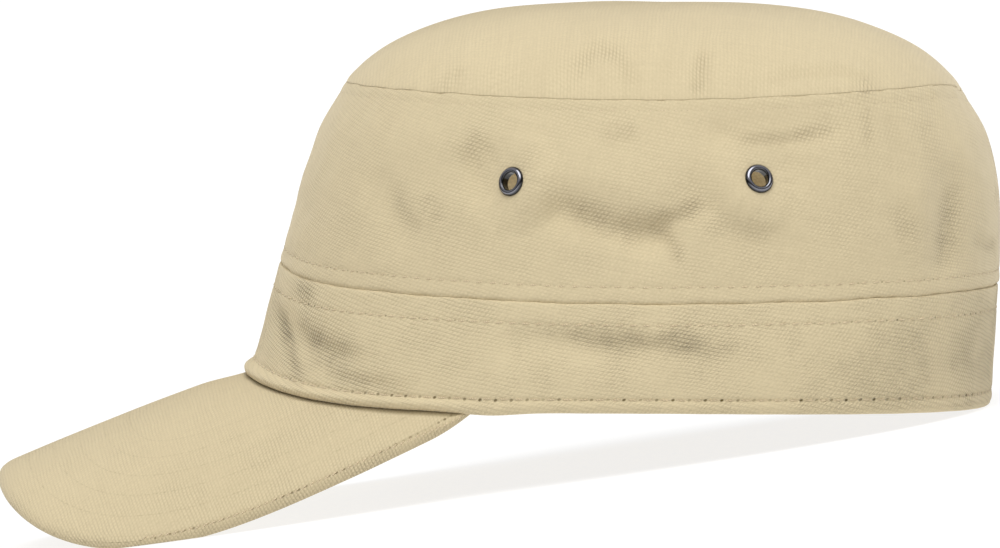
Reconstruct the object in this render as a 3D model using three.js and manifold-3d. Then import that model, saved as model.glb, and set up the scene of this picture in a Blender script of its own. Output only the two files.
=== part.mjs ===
// Cotton field cap with a round peak: a domed top panel, a leaning crown wall with two vent eyelets a side,
// a doubled band, and a bent board peak covered in the same cloth.
// Millimetres. In the cap's own frame x is the wearer's left, y the back and z up, and the origin is the
// middle of the band's bottom edge. The cap group turns that frame to how the cap rests on a table: on the
// back of its band and the two low corners of its peak, with the table at z = 0.
import * as THREE from "three";
import { mergeVertices } from "three/addons/utils/BufferGeometryUtils.js";
import Module from "manifold-3d";

const wasm = await Module();
wasm.setup();

const seamGap = 0.3; // between pieces that are sewn or clenched together
const thickness = { wall: 1.5, top: 1.5, band: 2.6, peak: 2.6 };
const mesh = { around: 84, bandRows: 5, wallRows: 8, topRings: 6, peakColumns: 36, peakRows: 9 };

// How the cap rests: nose up by this pitch, then moved so that the table is at z = 0 and the origin is
// under the middle of its length.
const rest = { pitch: 8.75, backward: 29.3, up: 15.7 };

// Outer sections of band and wall, from the bottom up, with their heights at the side, front and back. The
// front rises over the peak: crest is the share of that rise in a narrow hump, crestAngle degrees each way.
const heights = [
  { name: "bottom", side: 0.9, front: 7.9, back: -1.2, crest: 1, crestAngle: 28 },
  { name: "lip", side: 2.8, front: 9.6, back: 1.1, crest: 1, crestAngle: 28 },
  { name: "hem", side: 5.2, front: 12.6, back: 4.0, crest: 1, crestAngle: 27 },
  { name: "bandLow", side: 11, front: 17.6, back: 10.5, crest: 0.9, crestAngle: 26 },
  { name: "bandMiddle", side: 19, front: 25.4, back: 19, crest: 0.75, crestAngle: 23 },
  { name: "bandSeam", side: 30, front: 37.8, back: 32.0, crest: 0.5, crestAngle: 20 },
  { name: "wallLow", side: 43, front: 49, back: 43, crest: 0.4, crestAngle: 20 },
  { name: "wallMiddle", side: 57, front: 61.5, back: 57.5, crest: 0.2, crestAngle: 20 },
  { name: "wallHigh", side: 71, front: 74.5, back: 71.5, crest: 0, crestAngle: 20 },
  { name: "topSeam", side: 83.1, front: 86.0, back: 86.9, crest: 0, crestAngle: 20 },
];

// How far the same sections reach forward, backward and sideways, and where they are widest.
const reaches = [
  { name: "bottom", frontY: -100.8, backY: 100.0, halfWidth: 82.4, widestY: 5 },
  { name: "lip", frontY: -101.7, backY: 101.0, halfWidth: 83.1, widestY: 5 },
  { name: "hem", frontY: -98.2, backY: 101.2, halfWidth: 83.3, widestY: 6 },
  { name: "bandLow", frontY: -96.6, backY: 101.3, halfWidth: 83.5, widestY: 7 },
  { name: "bandMiddle", frontY: -94.6, backY: 101.8, halfWidth: 83.4, widestY: 8 },
  { name: "bandSeam", frontY: -91.2, backY: 102.3, halfWidth: 82.5, widestY: 9 },
  { name: "wallLow", frontY: -88.2, backY: 102.6, halfWidth: 81.4, widestY: 9 },
  { name: "wallMiddle", frontY: -84.7, backY: 102.2, halfWidth: 79.4, widestY: 10 },
  { name: "wallHigh", frontY: -79.9, backY: 99.4, halfWidth: 76.0, widestY: 10 },
  { name: "topSeam", frontY: -73.4, backY: 92.5, halfWidth: 70.8, widestY: 10 },
];
const sections = heights.map((row, index) => ({ ...row, ...reaches[index] }));
const levelOf = Object.fromEntries(sections.map((row, index) => [row.name, index]));
const roundness = { front: 2.15, back: 2.3 }; // superellipse powers of the two halves of a section

const ridge = { dip: 3.1, halfAngle: 13 }; // the top seam dips at the centre back

// The top panel falls from its apex as a power of the radius, and a share of it more steeply at the edge.
const dome = { apexY: 8, apexZ: 107.5, power: 3.3, edgePower: 16, edgeShare: 0.15 };

// The peak is a board that slopes down from heelY, heelZ and is bent about its length, with an arch that
// tightens towards the tip, and its middle line bows up a little. Flat, its rim is a superellipse about a
// point widestAlong from the heel.
const peak = {
  slope: 21.2, heelY: -51.2, heelZ: 27.2, heelRadius: 118, tipRadius: 89.5, length: 125,
  widestAlong: 31.7, halfWidth: 88.5, toTip: 93.4, toHeel: 68.1, power: 2.96, rimSweep: 111,
  endAngle: 60, settle: 14, bow: 0.9, bowFrom: 40, rimStart: 0.975, rimRounding: 0.5,
};

// Soft folds as grooves (depth below 0) and ridges, each along a line on the left side of the cap. The
// right side has the same ones turned front to back about middleY, as cloth never creases the same twice.
const folds = [
  { y1: -13, z1: 55.0, y2: 13, z2: 47.8, width: 6.0, depth: -1.9 },
  { y1: 11, z1: 48.0, y2: 24, z2: 56.0, width: 5.5, depth: -1.2 },
  { y1: -8, z1: 63.0, y2: 12, z2: 59.0, width: 8.0, depth: 1.2 },
  { y1: 30, z1: 75.5, y2: 58, z2: 77.0, width: 5.0, depth: -1.3 },
  { y1: -62, z1: 60.0, y2: -55, z2: 48.0, width: 5.5, depth: -1.1 },
  { y1: 89, z1: 61.0, y2: 87, z2: 40.0, width: 5.0, depth: -1.4 },
  { y1: 82, z1: 58.0, y2: 84, z2: 42.0, width: 5.5, depth: 1.0 },
  { y1: -24, z1: 19.5, y2: 9, z2: 18.5, width: 5.5, depth: -1.1 },
  { y1: -87, z1: 21.0, y2: -75, z2: 17.0, width: 6.0, depth: -1.4 },
];
const foldMirror = { middleY: 8, strength: 0.8 };
const topCrease = { y: 22.5, fromX: 22, fullX: 44, width: 5, depth: -0.9 }; // over the left edge of the top

// The cloth about each eyelet is proud, flat and leaning: turn is towards the back, nod is upwards.
const eyeletPlaces = [
  { name: "front", y: -24.9, z: 61.6, turn: -20, nod: 3 },
  { name: "rear", y: 40.0, z: 62.5, turn: 13, nod: 10 },
];
const eyeletPillow = { height: 0.8, flat: 5.5, reach: 15 };
const eyelet = {
  bore: 2.3, barrel: 2.65, flange: 4.0, flangeHeight: 0.9, innerFlange: 3.7, innerHeight: 0.6, sides: 14,
};

const canvasCloth = new THREE.MeshStandardMaterial({ color: 0xd6c49c, roughness: 0.92, metalness: 0 });
const nickel = new THREE.MeshStandardMaterial({ color: 0x9a9ba3, roughness: 0.25, metalness: 1 });

const { clamp, degToRad: rad, lerp, smoothstep } = THREE.MathUtils;
const up = new THREE.Vector3(0, 0, 1);
const tableNormal = new THREE.Vector3(0, -Math.sin(rad(rest.pitch)), Math.cos(rad(rest.pitch)));
const table = new THREE.Plane(tableNormal, rest.up);

// A smooth curve through one column of the sections table, at a level that may lie between two rows.
function column(key, level) {
  const last = sections.length - 1;
  const index = Math.min(Math.floor(level), last - 1);
  const at = (i) => sections[clamp(i, 0, last)][key];
  const [a, b, c, d] = [at(index - 1), at(index), at(index + 1), at(index + 2)];
  const t = level - index;
  return b + 0.5 * t * (c - a + t * (2 * a - 5 * b + 4 * c - d + t * (3 * (b - c) + d - a)));
}

// The radius of a superellipse in a direction given by its two shares of the half axes.
function superellipse(shareA, shareB, power) {
  return Math.pow(Math.pow(Math.abs(shareA), power) + Math.pow(Math.abs(shareB), power), -1 / power);
}

// A point of the outer surface: angle is from the centre front towards the wearer's left, in radians.
function smoothWall(angle, level) {
  const forward = Math.cos(angle);
  const widestY = column("widestY", level);
  const length = forward > 0 ? widestY - column("frontY", level) : column("backY", level) - widestY;
  const power = forward > 0 ? roundness.front : roundness.back;
  const radius = superellipse(Math.sin(angle) / column("halfWidth", level), forward / length, power);
  const side = column("side", level);
  const turned = Math.atan2(Math.sin(angle), forward) / rad(column("crestAngle", level));
  const crest = column("crest", level);
  const fromBack = Math.atan2(Math.sin(angle), -forward) / rad(ridge.halfAngle);
  const dip = ridge.dip * smoothstep(level, levelOf.wallHigh, levelOf.topSeam);
  const hump = crest * Math.exp(-turned * turned) + (1 - crest) * forward * forward;
  const rise = forward > 0
    ? (column("front", level) - side) * hump
    : (column("back", level) - side) * forward * forward - dip * Math.exp(-fromBack * fromBack);
  return new THREE.Vector3(radius * Math.sin(angle), widestY - radius * forward, side + rise);
}

// How far folds push the cloth out at a point.
function foldDepth(point) {
  const left = point.x > 0;
  const y = left ? point.y : 2 * foldMirror.middleY - point.y;
  const strength = (left ? 1 : foldMirror.strength) * smoothstep(Math.abs(point.x), 4, 22);
  let depth = 0;
  for (const fold of folds) {
    const alongY = fold.y2 - fold.y1;
    const alongZ = fold.z2 - fold.z1;
    const [fromY, fromZ] = [y - fold.y1, point.z - fold.z1];
    const share = clamp((fromY * alongY + fromZ * alongZ) / (alongY ** 2 + alongZ ** 2), 0, 1);
    const away = Math.hypot(fromY - share * alongY, fromZ - share * alongZ) / fold.width;
    depth += fold.depth * Math.exp(-away * away);
  }
  for (const place of eyeletPlaces) {
    const [aboutY, aboutZ] = [point.y - place.y, point.z - place.z];
    const lean = aboutY * Math.tan(rad(place.turn)) + aboutZ * Math.tan(rad(place.nod));
    const fade = smoothstep(Math.hypot(aboutY, aboutZ), eyeletPillow.flat, eyeletPillow.reach);
    depth = lerp(eyeletPillow.height - lean, depth, fade);
  }
  return depth * strength;
}

// The outward normal of a surface given as a function of two parameters, by small steps.
function normalAt(surface, a, b, stepA, stepB) {
  const alongA = surface(a + stepA, b).sub(surface(a - stepA, b));
  const alongB = surface(a, b + stepB).sub(surface(a, b - stepB));
  return alongA.cross(alongB).normalize();
}

const wallNormal = (angle, level) =>
  normalAt(smoothWall, angle, clamp(level, 0.02, sections.length - 1.02), 0.01, 0.02);

function foldedWall(angle, level) {
  const point = smoothWall(angle, level);
  const fromSeams = ["bottom", "bandSeam", "topSeam"].map((seam) => Math.abs(level - levelOf[seam]));
  const held = smoothstep(Math.min(...fromSeams), 0, 0.8); // seams hold the cloth still
  return point.addScaledVector(wallNormal(angle, level), foldDepth(point) * held);
}

// The inner side of the wall or band, under the same outer point. On a seam it lies level, so that two
// panels meet face to face.
function innerWall(angle, level, depth) {
  const inward = wallNormal(angle, level).negate();
  const onSeam = [levelOf.bottom, levelOf.bandSeam, levelOf.topSeam].includes(level);
  if (onSeam) inward.setZ(0).normalize();
  return foldedWall(angle, level).addScaledVector(inward, depth);
}

// A closed mesh between two grids of points, outer(i, j) and inner(i, j). A ring wraps round in i, and a
// pole closes its first row to a point.
function shell({ columns, rows, wraps, pole, outer, inner }) {
  const across = wraps ? columns : columns + 1;
  const points = [];
  for (const side of [outer, inner])
    for (let j = 0; j <= rows; j++)
      for (let i = 0; i < across; i++) points.push(...pressFlat(side(i, j)).toArray());
  const outerAt = (i, j) => j * across + (i % across);
  const innerAt = (i, j) => (rows + 1) * across + outerAt(i, j);
  const faces = [];
  const quad = (a, b, c, d) => faces.push(a, b, c, a, c, d);
  for (let i = 0; i < columns; i++) {
    for (let j = 0; j < rows; j++) {
      const closesToPole = pole && j === 0;
      if (closesToPole) {
        faces.push(outerAt(i, 0), outerAt(i + 1, 1), outerAt(i, 1));
        faces.push(innerAt(i, 0), innerAt(i, 1), innerAt(i + 1, 1));
      } else {
        quad(outerAt(i, j), outerAt(i + 1, j), outerAt(i + 1, j + 1), outerAt(i, j + 1));
        quad(innerAt(i, j), innerAt(i, j + 1), innerAt(i + 1, j + 1), innerAt(i + 1, j));
      }
    }
    if (!pole) quad(outerAt(i, 0), innerAt(i, 0), innerAt(i + 1, 0), outerAt(i + 1, 0));
    quad(outerAt(i, rows), outerAt(i + 1, rows), innerAt(i + 1, rows), innerAt(i, rows));
  }
  if (!wraps)
    for (let j = 0; j < rows; j++) {
      quad(outerAt(0, j), outerAt(0, j + 1), innerAt(0, j + 1), innerAt(0, j));
      quad(outerAt(columns, j), innerAt(columns, j), innerAt(columns, j + 1), outerAt(columns, j + 1));
    }
  const geometry = new THREE.BufferGeometry();
  geometry.setAttribute("position", new THREE.Float32BufferAttribute(points, 3));
  geometry.setIndex(faces);
  return mergeVertices(geometry, 1e-3);
}

// Cloth that would dip into the table lies flat on it.
function pressFlat(point) {
  const height = table.distanceToPoint(point);
  return height < 0 ? point.addScaledVector(table.normal, -height) : point;
}

// A ring of the cap's side between two levels, with half a seam gap left at each seam.
function sidePanel(fromLevel, toLevel, rows, depth, gapBelow) {
  const levelAt = (j) => fromLevel + ((toLevel - fromLevel) * j) / rows;
  const angleAt = (i) => (2 * Math.PI * i) / mesh.around;
  const shrink = (point, j) => {
    if (j === 0) point.z += gapBelow;
    if (j === rows) point.z -= seamGap / 2;
    return point;
  };
  return shell({
    columns: mesh.around, rows, wraps: true, pole: false,
    outer: (i, j) => shrink(foldedWall(angleAt(i), levelAt(j)), j),
    inner: (i, j) => {
      const point = innerWall(angleAt(i), levelAt(j), depth);
      if (levelAt(j) === levelOf.bottom) point.z += peakLift(angleAt(i), depth);
      return shrink(point, j);
    },
  });
}

// The top panel, from its apex to the seam with the wall.
function domePoint(angle, share) {
  const edge = smoothWall(angle, levelOf.topSeam);
  const point = new THREE.Vector3(0, dome.apexY, 0).lerp(new THREE.Vector3(edge.x, edge.y, 0), share);
  const fallen = lerp(share ** dome.power, share ** dome.edgePower, dome.edgeShare);
  point.z = edge.z + (dome.apexZ - edge.z) * (1 - fallen);
  return point;
}

function creasedDome(angle, share) {
  const point = domePoint(angle, share);
  const across = (point.y - topCrease.y) / topCrease.width;
  const reach = smoothstep(point.x, topCrease.fromX, topCrease.fullX) * smoothstep(1 - share, 0, 0.1);
  point.z += topCrease.depth * Math.exp(-across * across) * reach;
  return point;
}

function topPanel() {
  const angleAt = (i) => (2 * Math.PI * i) / mesh.around;
  const shareAt = (j) => Math.pow(j / mesh.topRings, 0.6); // rings crowd towards the rounded edge
  return shell({
    columns: mesh.around, rows: mesh.topRings, wraps: true, pole: true,
    outer: (i, j) => {
      const point = creasedDome(-angleAt(i), shareAt(j));
      if (j === mesh.topRings) point.z += seamGap / 2;
      return point;
    },
    inner: (i, j) => {
      if (j === mesh.topRings) {
        const point = innerWall(-angleAt(i), levelOf.topSeam, thickness.top);
        point.z += seamGap / 2;
        return point;
      }
      const share = Math.max(shareAt(j), 0.02);
      const normal = normalAt(domePoint, -angleAt(i), share, 0.01, 0.01);
      if (normal.z < 0) normal.negate();
      return creasedDome(-angleAt(i), shareAt(j)).addScaledVector(j === 0 ? up : normal, -thickness.top);
    },
  });
}

// The bent peak board: flat coordinates (across, along) to a point of its upper surface.
const archRadius = (along) => peak.heelRadius + ((peak.tipRadius - peak.heelRadius) * along) / peak.length;

function bentBoard(across, along) {
  const radius = archRadius(along);
  const drop = radius * (1 - Math.cos(across / radius));
  const slope = rad(peak.slope);
  const span = clamp((along - peak.bowFrom) / (peak.length - peak.bowFrom), 0, 1);
  const middle = Math.cos((Math.PI / 2) * (across / peak.halfWidth)) ** 2;
  const bow = peak.bow * Math.sin(Math.PI * span) * middle;
  return new THREE.Vector3(
    radius * Math.sin(across / radius),
    peak.heelY - along * Math.cos(slope) + drop * Math.sin(slope),
    peak.heelZ - along * Math.sin(slope) - drop * Math.cos(slope) + bow,
  );
}

// The flat coordinates of the board point at a plan position.
function flattened(x, y) {
  const slope = rad(peak.slope);
  let along = 0;
  for (let step = 0; step < 12; step++) {
    const radius = archRadius(along);
    const drop = radius - Math.sqrt(radius * radius - x * x);
    along = (peak.heelY - y + drop * Math.sin(slope)) / Math.cos(slope);
  }
  const radius = archRadius(along);
  return { across: radius * Math.asin(x / radius), along };
}

function boardHeight(point) {
  const { across, along } = flattened(point.x, point.y);
  return bentBoard(across, along).z;
}

// How much higher the board lies under the band's inner edge than under its outer edge.
function peakLift(angle, depth) {
  const turned = Math.abs(Math.atan2(Math.sin(angle), Math.cos(angle)));
  const share = 1 - smoothstep(turned, rad(peak.endAngle), rad(peak.endAngle + 10));
  if (share === 0) return 0;
  const inner = innerWall(angle, levelOf.bottom, depth);
  const outer = smoothWall(angle, levelOf.bottom);
  return share * (boardHeight(inner) - boardHeight(outer));
}

// The flat outline of the rim, by angle from the tip.
function rimPoint(angle) {
  const reach = Math.cos(angle) > 0 ? peak.toTip : peak.toHeel;
  const radius = superellipse(Math.sin(angle) / peak.halfWidth, Math.cos(angle) / reach, peak.power);
  return { across: radius * Math.sin(angle), along: peak.widestAlong + radius * Math.cos(angle) };
}

// The upper surface of the peak at flat coordinates, pressed up against the underside of the band that it
// passes under.
function peakSurface(across, along) {
  const point = bentBoard(across, along);
  const widestY = sections[levelOf.bottom].widestY;
  const angle = Math.atan2(point.x, widestY - point.y);
  const bandEdge = smoothWall(angle, levelOf.bottom);
  const outside = Math.hypot(point.x, point.y - widestY) - Math.hypot(bandEdge.x, bandEdge.y - widestY);
  const settled = 1 - smoothstep(outside, 0, peak.settle);
  point.z += (bandEdge.z - seamGap - boardHeight(bandEdge)) * settled;
  return point;
}

// The covered peak, from under the band's inner edge out to the rim.
function peakPlate() {
  const facePoint = (i, j, depth) => {
    const turn = 1 - (2 * i) / mesh.peakColumns;
    const inner = innerWall(turn * rad(peak.endAngle), levelOf.bottom, thickness.band);
    const root = flattened(inner.x, inner.y);
    const rim = rimPoint(turn * rad(peak.rimSweep));
    const onRim = j === mesh.peakRows;
    const share = onRim ? 1 : (j / (mesh.peakRows - 1)) * peak.rimStart;
    const across = lerp(root.across, rim.across, share);
    const along = lerp(root.along, rim.along, share);
    const normal = normalAt(peakSurface, across, along, 0.5, 0.5);
    if (normal.z < 0) normal.negate();
    const rounded = onRim ? lerp(depth, thickness.peak / 2, peak.rimRounding) : depth;
    return peakSurface(across, along).addScaledVector(normal, -rounded);
  };
  return shell({
    columns: mesh.peakColumns, rows: mesh.peakRows, wraps: false, pole: false,
    outer: (i, j) => facePoint(i, j, 0),
    inner: (i, j) => facePoint(i, j, thickness.peak),
  });
}

// How high and how low the cloth reaches under an eyelet's flanges, along the axis of its seat.
function clothSpan(cloth, seat) {
  const towards = new THREE.Vector3(0, -1, 0).transformDirection(seat.matrix);
  const span = { high: -Infinity, low: Infinity };
  for (const radius of [eyelet.barrel, eyelet.flange])
    for (let i = 0; i < eyelet.sides; i++) {
      const turn = (2 * Math.PI * i) / eyelet.sides;
      const start = new THREE.Vector3(radius * Math.cos(turn), 10, radius * Math.sin(turn));
      start.applyMatrix4(seat.matrix);
      const [entry, exit] = new THREE.Raycaster(start, towards, 0, 25).intersectObject(cloth);
      span.high = Math.max(span.high, 10 - entry.distance);
      span.low = Math.min(span.low, 10 - exit.distance);
    }
  return span;
}

// A set eyelet: a domed flange outside, a barrel through the cloth and a flat flange inside.
function eyeletGeometry(span) {
  const outside = span.high + seamGap;
  const inside = span.low - seamGap;
  const outline = [
    [eyelet.bore, inside - eyelet.innerHeight * 0.6],
    [eyelet.bore + 0.3, inside - eyelet.innerHeight],
    [eyelet.innerFlange, inside - eyelet.innerHeight * 0.5],
    [eyelet.innerFlange, inside],
    [eyelet.barrel, inside],
    [eyelet.barrel, outside],
    [eyelet.flange, outside],
    [eyelet.flange - 0.1, outside + eyelet.flangeHeight * 0.55],
    [eyelet.flange - 0.55, outside + eyelet.flangeHeight * 0.95],
    [eyelet.bore + 0.6, outside + eyelet.flangeHeight],
    [eyelet.bore + 0.1, outside + eyelet.flangeHeight * 0.6],
  ].map(([radius, height]) => new THREE.Vector2(radius, height));
  return new THREE.LatheGeometry([...outline, outline[0]], eyelet.sides);
}

// The angle and level of the outer surface at a height z and a place y on one side.
function findOnWall(y, z, side) {
  let angle = (side * Math.PI) / 2;
  let level = levelOf.wallMiddle;
  for (let step = 0; step < 40; step++) {
    const point = smoothWall(angle, level);
    angle += (side * (y - point.y)) / 120;
    level += (z - point.z) / 20;
  }
  return { angle, level };
}

function solidFrom(geometry) {
  const merged = mergeVertices(geometry.clone().deleteAttribute("normal").deleteAttribute("uv"), 1e-3);
  return new wasm.Manifold(
    new wasm.Mesh({
      numProp: 3,
      vertProperties: new Float32Array(merged.attributes.position.array),
      triVerts: new Uint32Array(merged.index.array),
    }),
  );
}

function geometryFrom(solid) {
  const made = solid.getMesh();
  const geometry = new THREE.BufferGeometry();
  geometry.setAttribute("position", new THREE.BufferAttribute(made.vertProperties, 3));
  geometry.setIndex(new THREE.BufferAttribute(made.triVerts, 1));
  return geometry;
}

function named(name, geometry, material) {
  const piece = new THREE.Mesh(geometry, material);
  piece.name = name;
  return piece;
}

const cap = new THREE.Group();

// Eyelets, each square to the cloth where it sits, and the holes that they go through.
const wallRing = sidePanel(levelOf.bandSeam, levelOf.topSeam, mesh.wallRows, thickness.wall, seamGap / 2);
const wallCloth = new THREE.Mesh(wallRing, new THREE.MeshBasicMaterial({ side: THREE.DoubleSide }));
const holes = [];
for (const place of eyeletPlaces)
  for (const [sideName, side] of [["left", 1], ["right", -1]]) {
    const { angle, level } = findOnWall(place.y, place.z, side);
    const seat = new THREE.Object3D();
    seat.position.copy(foldedWall(angle, level));
    const outward = normalAt(foldedWall, angle, level, 0.03, 0.1);
    seat.quaternion.setFromUnitVectors(new THREE.Vector3(0, 1, 0), outward);
    seat.updateMatrix();
    const geometry = eyeletGeometry(clothSpan(wallCloth, seat)).applyMatrix4(seat.matrix);
    cap.add(named(`eyelet_${sideName}_${place.name}`, geometry, nickel));
    const drillRadius = eyelet.barrel + seamGap;
    const drill = new THREE.CylinderGeometry(drillRadius, drillRadius, 10, eyelet.sides);
    holes.push(solidFrom(drill.applyMatrix4(seat.matrix)));
  }
const drilledWall = holes.reduce((wall, hole) => wall.subtract(hole), solidFrom(wallRing));

cap.add(
  named("crown_top", topPanel(), canvasCloth),
  named("crown_wall", geometryFrom(drilledWall), canvasCloth),
  named("band", sidePanel(levelOf.bottom, levelOf.bandSeam, mesh.bandRows, thickness.band, 0), canvasCloth),
  named("peak", peakPlate(), canvasCloth),
);

cap.rotation.x = -rad(rest.pitch);
cap.position.set(0, rest.backward, rest.up);

const root = new THREE.Group();
root.add(cap);
export default root;
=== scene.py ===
# A sand-coloured cotton field cap with a round peak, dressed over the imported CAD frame.
import math

import bmesh
import bpy
import numpy as np
from mathutils import Matrix, Vector


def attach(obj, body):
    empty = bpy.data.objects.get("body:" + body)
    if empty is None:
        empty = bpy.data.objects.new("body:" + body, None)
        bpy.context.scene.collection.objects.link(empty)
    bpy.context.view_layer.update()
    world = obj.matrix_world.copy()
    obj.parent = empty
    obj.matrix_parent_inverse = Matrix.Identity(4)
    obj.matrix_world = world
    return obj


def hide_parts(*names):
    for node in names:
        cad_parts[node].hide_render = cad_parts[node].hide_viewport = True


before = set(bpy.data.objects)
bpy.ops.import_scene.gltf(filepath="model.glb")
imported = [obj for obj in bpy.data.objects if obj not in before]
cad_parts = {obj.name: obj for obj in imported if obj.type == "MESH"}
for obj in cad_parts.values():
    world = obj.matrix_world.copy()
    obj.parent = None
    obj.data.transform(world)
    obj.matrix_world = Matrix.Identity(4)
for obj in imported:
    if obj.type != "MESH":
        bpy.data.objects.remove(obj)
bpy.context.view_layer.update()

# The cap's own frame is in millimetres: x is the wearer's left, y the back, z up. The rest turn and move
# put it on the table as the CAD has it.
rest = {"pitch": math.radians(8.75), "backward": 29.3, "up": 15.7}
camera = {"yaw": 3.0, "elevation": 2.6, "target": (0, -32, 34), "distance": 3000, "lens": 400}

levelNames = [
    "bottom", "lip", "hem", "bandLow", "bandMiddle", "bandSeam",
    "wallLow", "wallMiddle", "wallHigh", "topSeam",
]
levelOf = {name: index for index, name in enumerate(levelNames)}
sections = {
    "side": [0.9, 2.8, 5.2, 11, 19, 30, 43, 57, 71, 83.1],
    "front": [7.9, 9.6, 12.6, 17.6, 25.4, 37.8, 49, 61.5, 74.5, 86.0],
    "back": [-1.2, 1.1, 4.0, 10.5, 19, 32.0, 43, 57.5, 71.5, 86.9],
    "crest": [1, 1, 1, 0.9, 0.75, 0.5, 0.4, 0.2, 0, 0],
    "crestAngle": [28, 28, 27, 26, 23, 20, 20, 20, 20, 20],
    "frontY": [-99.9, -100.7, -98.2, -96.6, -94.6, -91.2, -88.2, -84.7, -79.9, -73.4],
    "backY": [99.3, 100.4, 100.8, 101.1, 101.7, 102.3, 102.6, 102.2, 99.2, 92.3],
    "halfWidth": [82.4, 83.1, 83.3, 83.5, 83.4, 82.5, 81.4, 79.4, 76.0, 70.8],
    "widestY": [5, 5, 6, 7, 8, 9, 9, 10, 10, 10],
}
sections = {key: np.array(values, float) for key, values in sections.items()}
roundness = {"front": 2.15, "back": 2.3}
ridge = {"dip": 3.1, "halfAngle": 13}
seamGap = 0.3

# The CAD's soft folds on the left side, each along a line: y and z of its two ends, width and depth.
folds = [
    (-13, 55.0, 13, 47.8, 6.0, -1.9),
    (11, 48.0, 24, 56.0, 5.5, -1.2),
    (-8, 63.0, 12, 59.0, 8.0, 1.2),
    (30, 75.5, 58, 77.0, 5.0, -1.3),
    (-62, 60.0, -55, 48.0, 5.5, -1.1),
    (89, 61.0, 87, 40.0, 5.0, -1.4),
    (82, 58.0, 84, 42.0, 5.5, 1.0),
    (-24, 19.5, 9, 18.5, 5.5, -1.1),
    (-87, 21.0, -75, 17.0, 6.0, -1.4),
]
# Finer creases in the side's elevation: y and z of the points each runs through, its width, how far the cloth
# above laps over the cloth below, how deep the crease itself is, and how much painted shade darkens it.
creases = [
    # crown wall, under and between the eyelets
    ([(-15, 57.4), (-9.2, 55.2), (-4.2, 52.9), (1.6, 51.2), (6.3, 50.6), (12, 50.6), (17, 50.2)],
     3.8, 0.38, 0.15, 0.74),
    ([(9.5, 51.0), (15, 52.4), (20.5, 54.4), (27, 57.4)], 2.6, 0.36, 0.10, 0.55),
    ([(12.5, 49.8), (16.4, 47.4), (18.4, 43.8), (19.6, 40.0)], 1.9, 0.05, 0.28, 0.66),
    ([(25.0, 50.6), (36, 49.6), (48.0, 47.6)], 3.6, 0.26, 0.0, 0.26),
    # crown wall, high up
    ([(30.0, 75.2), (36.0, 73.6), (46.0, 73.8), (62.0, 76.0)], 2.3, 0.38, 0.05, 0.60),
    ([(-3.0, 73.0), (9.5, 75.4)], 3.4, 0.20, 0.05, 0.28),
    ([(-41.0, 66.8), (-31.0, 74.3)], 3.6, 0.18, 0.05, 0.40),
    ([(-22.2, 65.6), (-18.0, 73.0)], 2.6, 0.0, 0.20, 0.28),
    ([(68.0, 82.5), (68.9, 69.2)], 1.9, 0.0, 0.30, 0.30),
    ([(73.0, 81.0), (77.5, 67.0)], 2.2, 0.0, 0.22, 0.22),
    ([(82.0, 79.0), (87.0, 65.0)], 2.6, 0.0, 0.14, 0.14),
    # crown wall, front and rear
    ([(-58.6, 60.0), (-56.0, 54.0), (-50.0, 46.6)], 2.4, 0.0, 0.34, 0.36),
    ([(-49.0, 58.6), (-44.0, 50.0)], 2.6, 0.0, 0.25, 0.32),
    ([(76.0, 57.0), (80.0, 44.0)], 3.2, 0.0, 0.35, 0.36),
    ([(89.0, 36.5), (90.0, 48), (92.0, 62.0)], 2.7, 0.0, 0.85, 0.66),
    ([(95.0, 45.0), (102.5, 42.0)], 1.9, 0.0, 0.40, 0.40),
    ([(85.5, 86.0), (91.5, 73.0), (98.5, 57.0)], 2.3, 0.0, -0.45, -0.15),
    # band, front
    ([(-92.0, 28.0), (-90.0, 23.0), (-86.8, 15.5), (-83.4, 8.0), (-82.0, 5.0)], 1.7, 0.0, 0.62, 0.86),
    ([(-87.0, 24.0), (-81.0, 19.8), (-74.0, 17.0), (-64.0, 14.6)], 3.4, 0.46, 0.20, 0.62),
    ([(-83.6, 18.6), (-76.0, 12.0), (-66.0, 8.6), (-50.0, 7.4)], 3.2, 0.30, 0.10, 0.46),
    ([(-88.0, 33.0), (-78.0, 29.6)], 2.8, 0.18, 0.0, 0.40),
    # band, middle
    ([(-22.0, 24.6), (-10.0, 22.0), (2.0, 20.6), (14.0, 20.4), (31.0, 20.8)], 3.4, 0.24, 0.04, 0.54),
    ([(5.0, 20.8), (20.0, 18.8), (38.0, 17.2)], 3.0, 0.16, 0.0, 0.30),
    # top panel
    ([(-9.0, 86.5), (-7.6, 92.0), (-3.2, 96.0), (2.4, 94.4), (6.0, 89.0), (8.6, 83.5)],
     2.1, 0.0, 0.45, 0.46),
    ([(25.0, 97.5), (24.5, 90.0), (23.2, 82.6)], 2.0, 0.0, 0.65, 0.74),
    ([(38.0, 87.5), (50.0, 90.5), (62.0, 90.4), (72.0, 85.8)], 2.4, 0.42, 0.0, 0.10),
    ([(66.6, 90.0), (69.0, 83.6)], 2.4, 0.0, 0.35, 0.55),
    ([(-45.0, 84.4), (-38.0, 91.0)], 2.8, 0.0, 0.32, 0.40),
]
creaseShape = {"lapSlope": 2.33, "fadeFrom": -0.06, "fadeTo": 0.3, "unevenShade": 0.22, "patchLength": 5}
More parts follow.
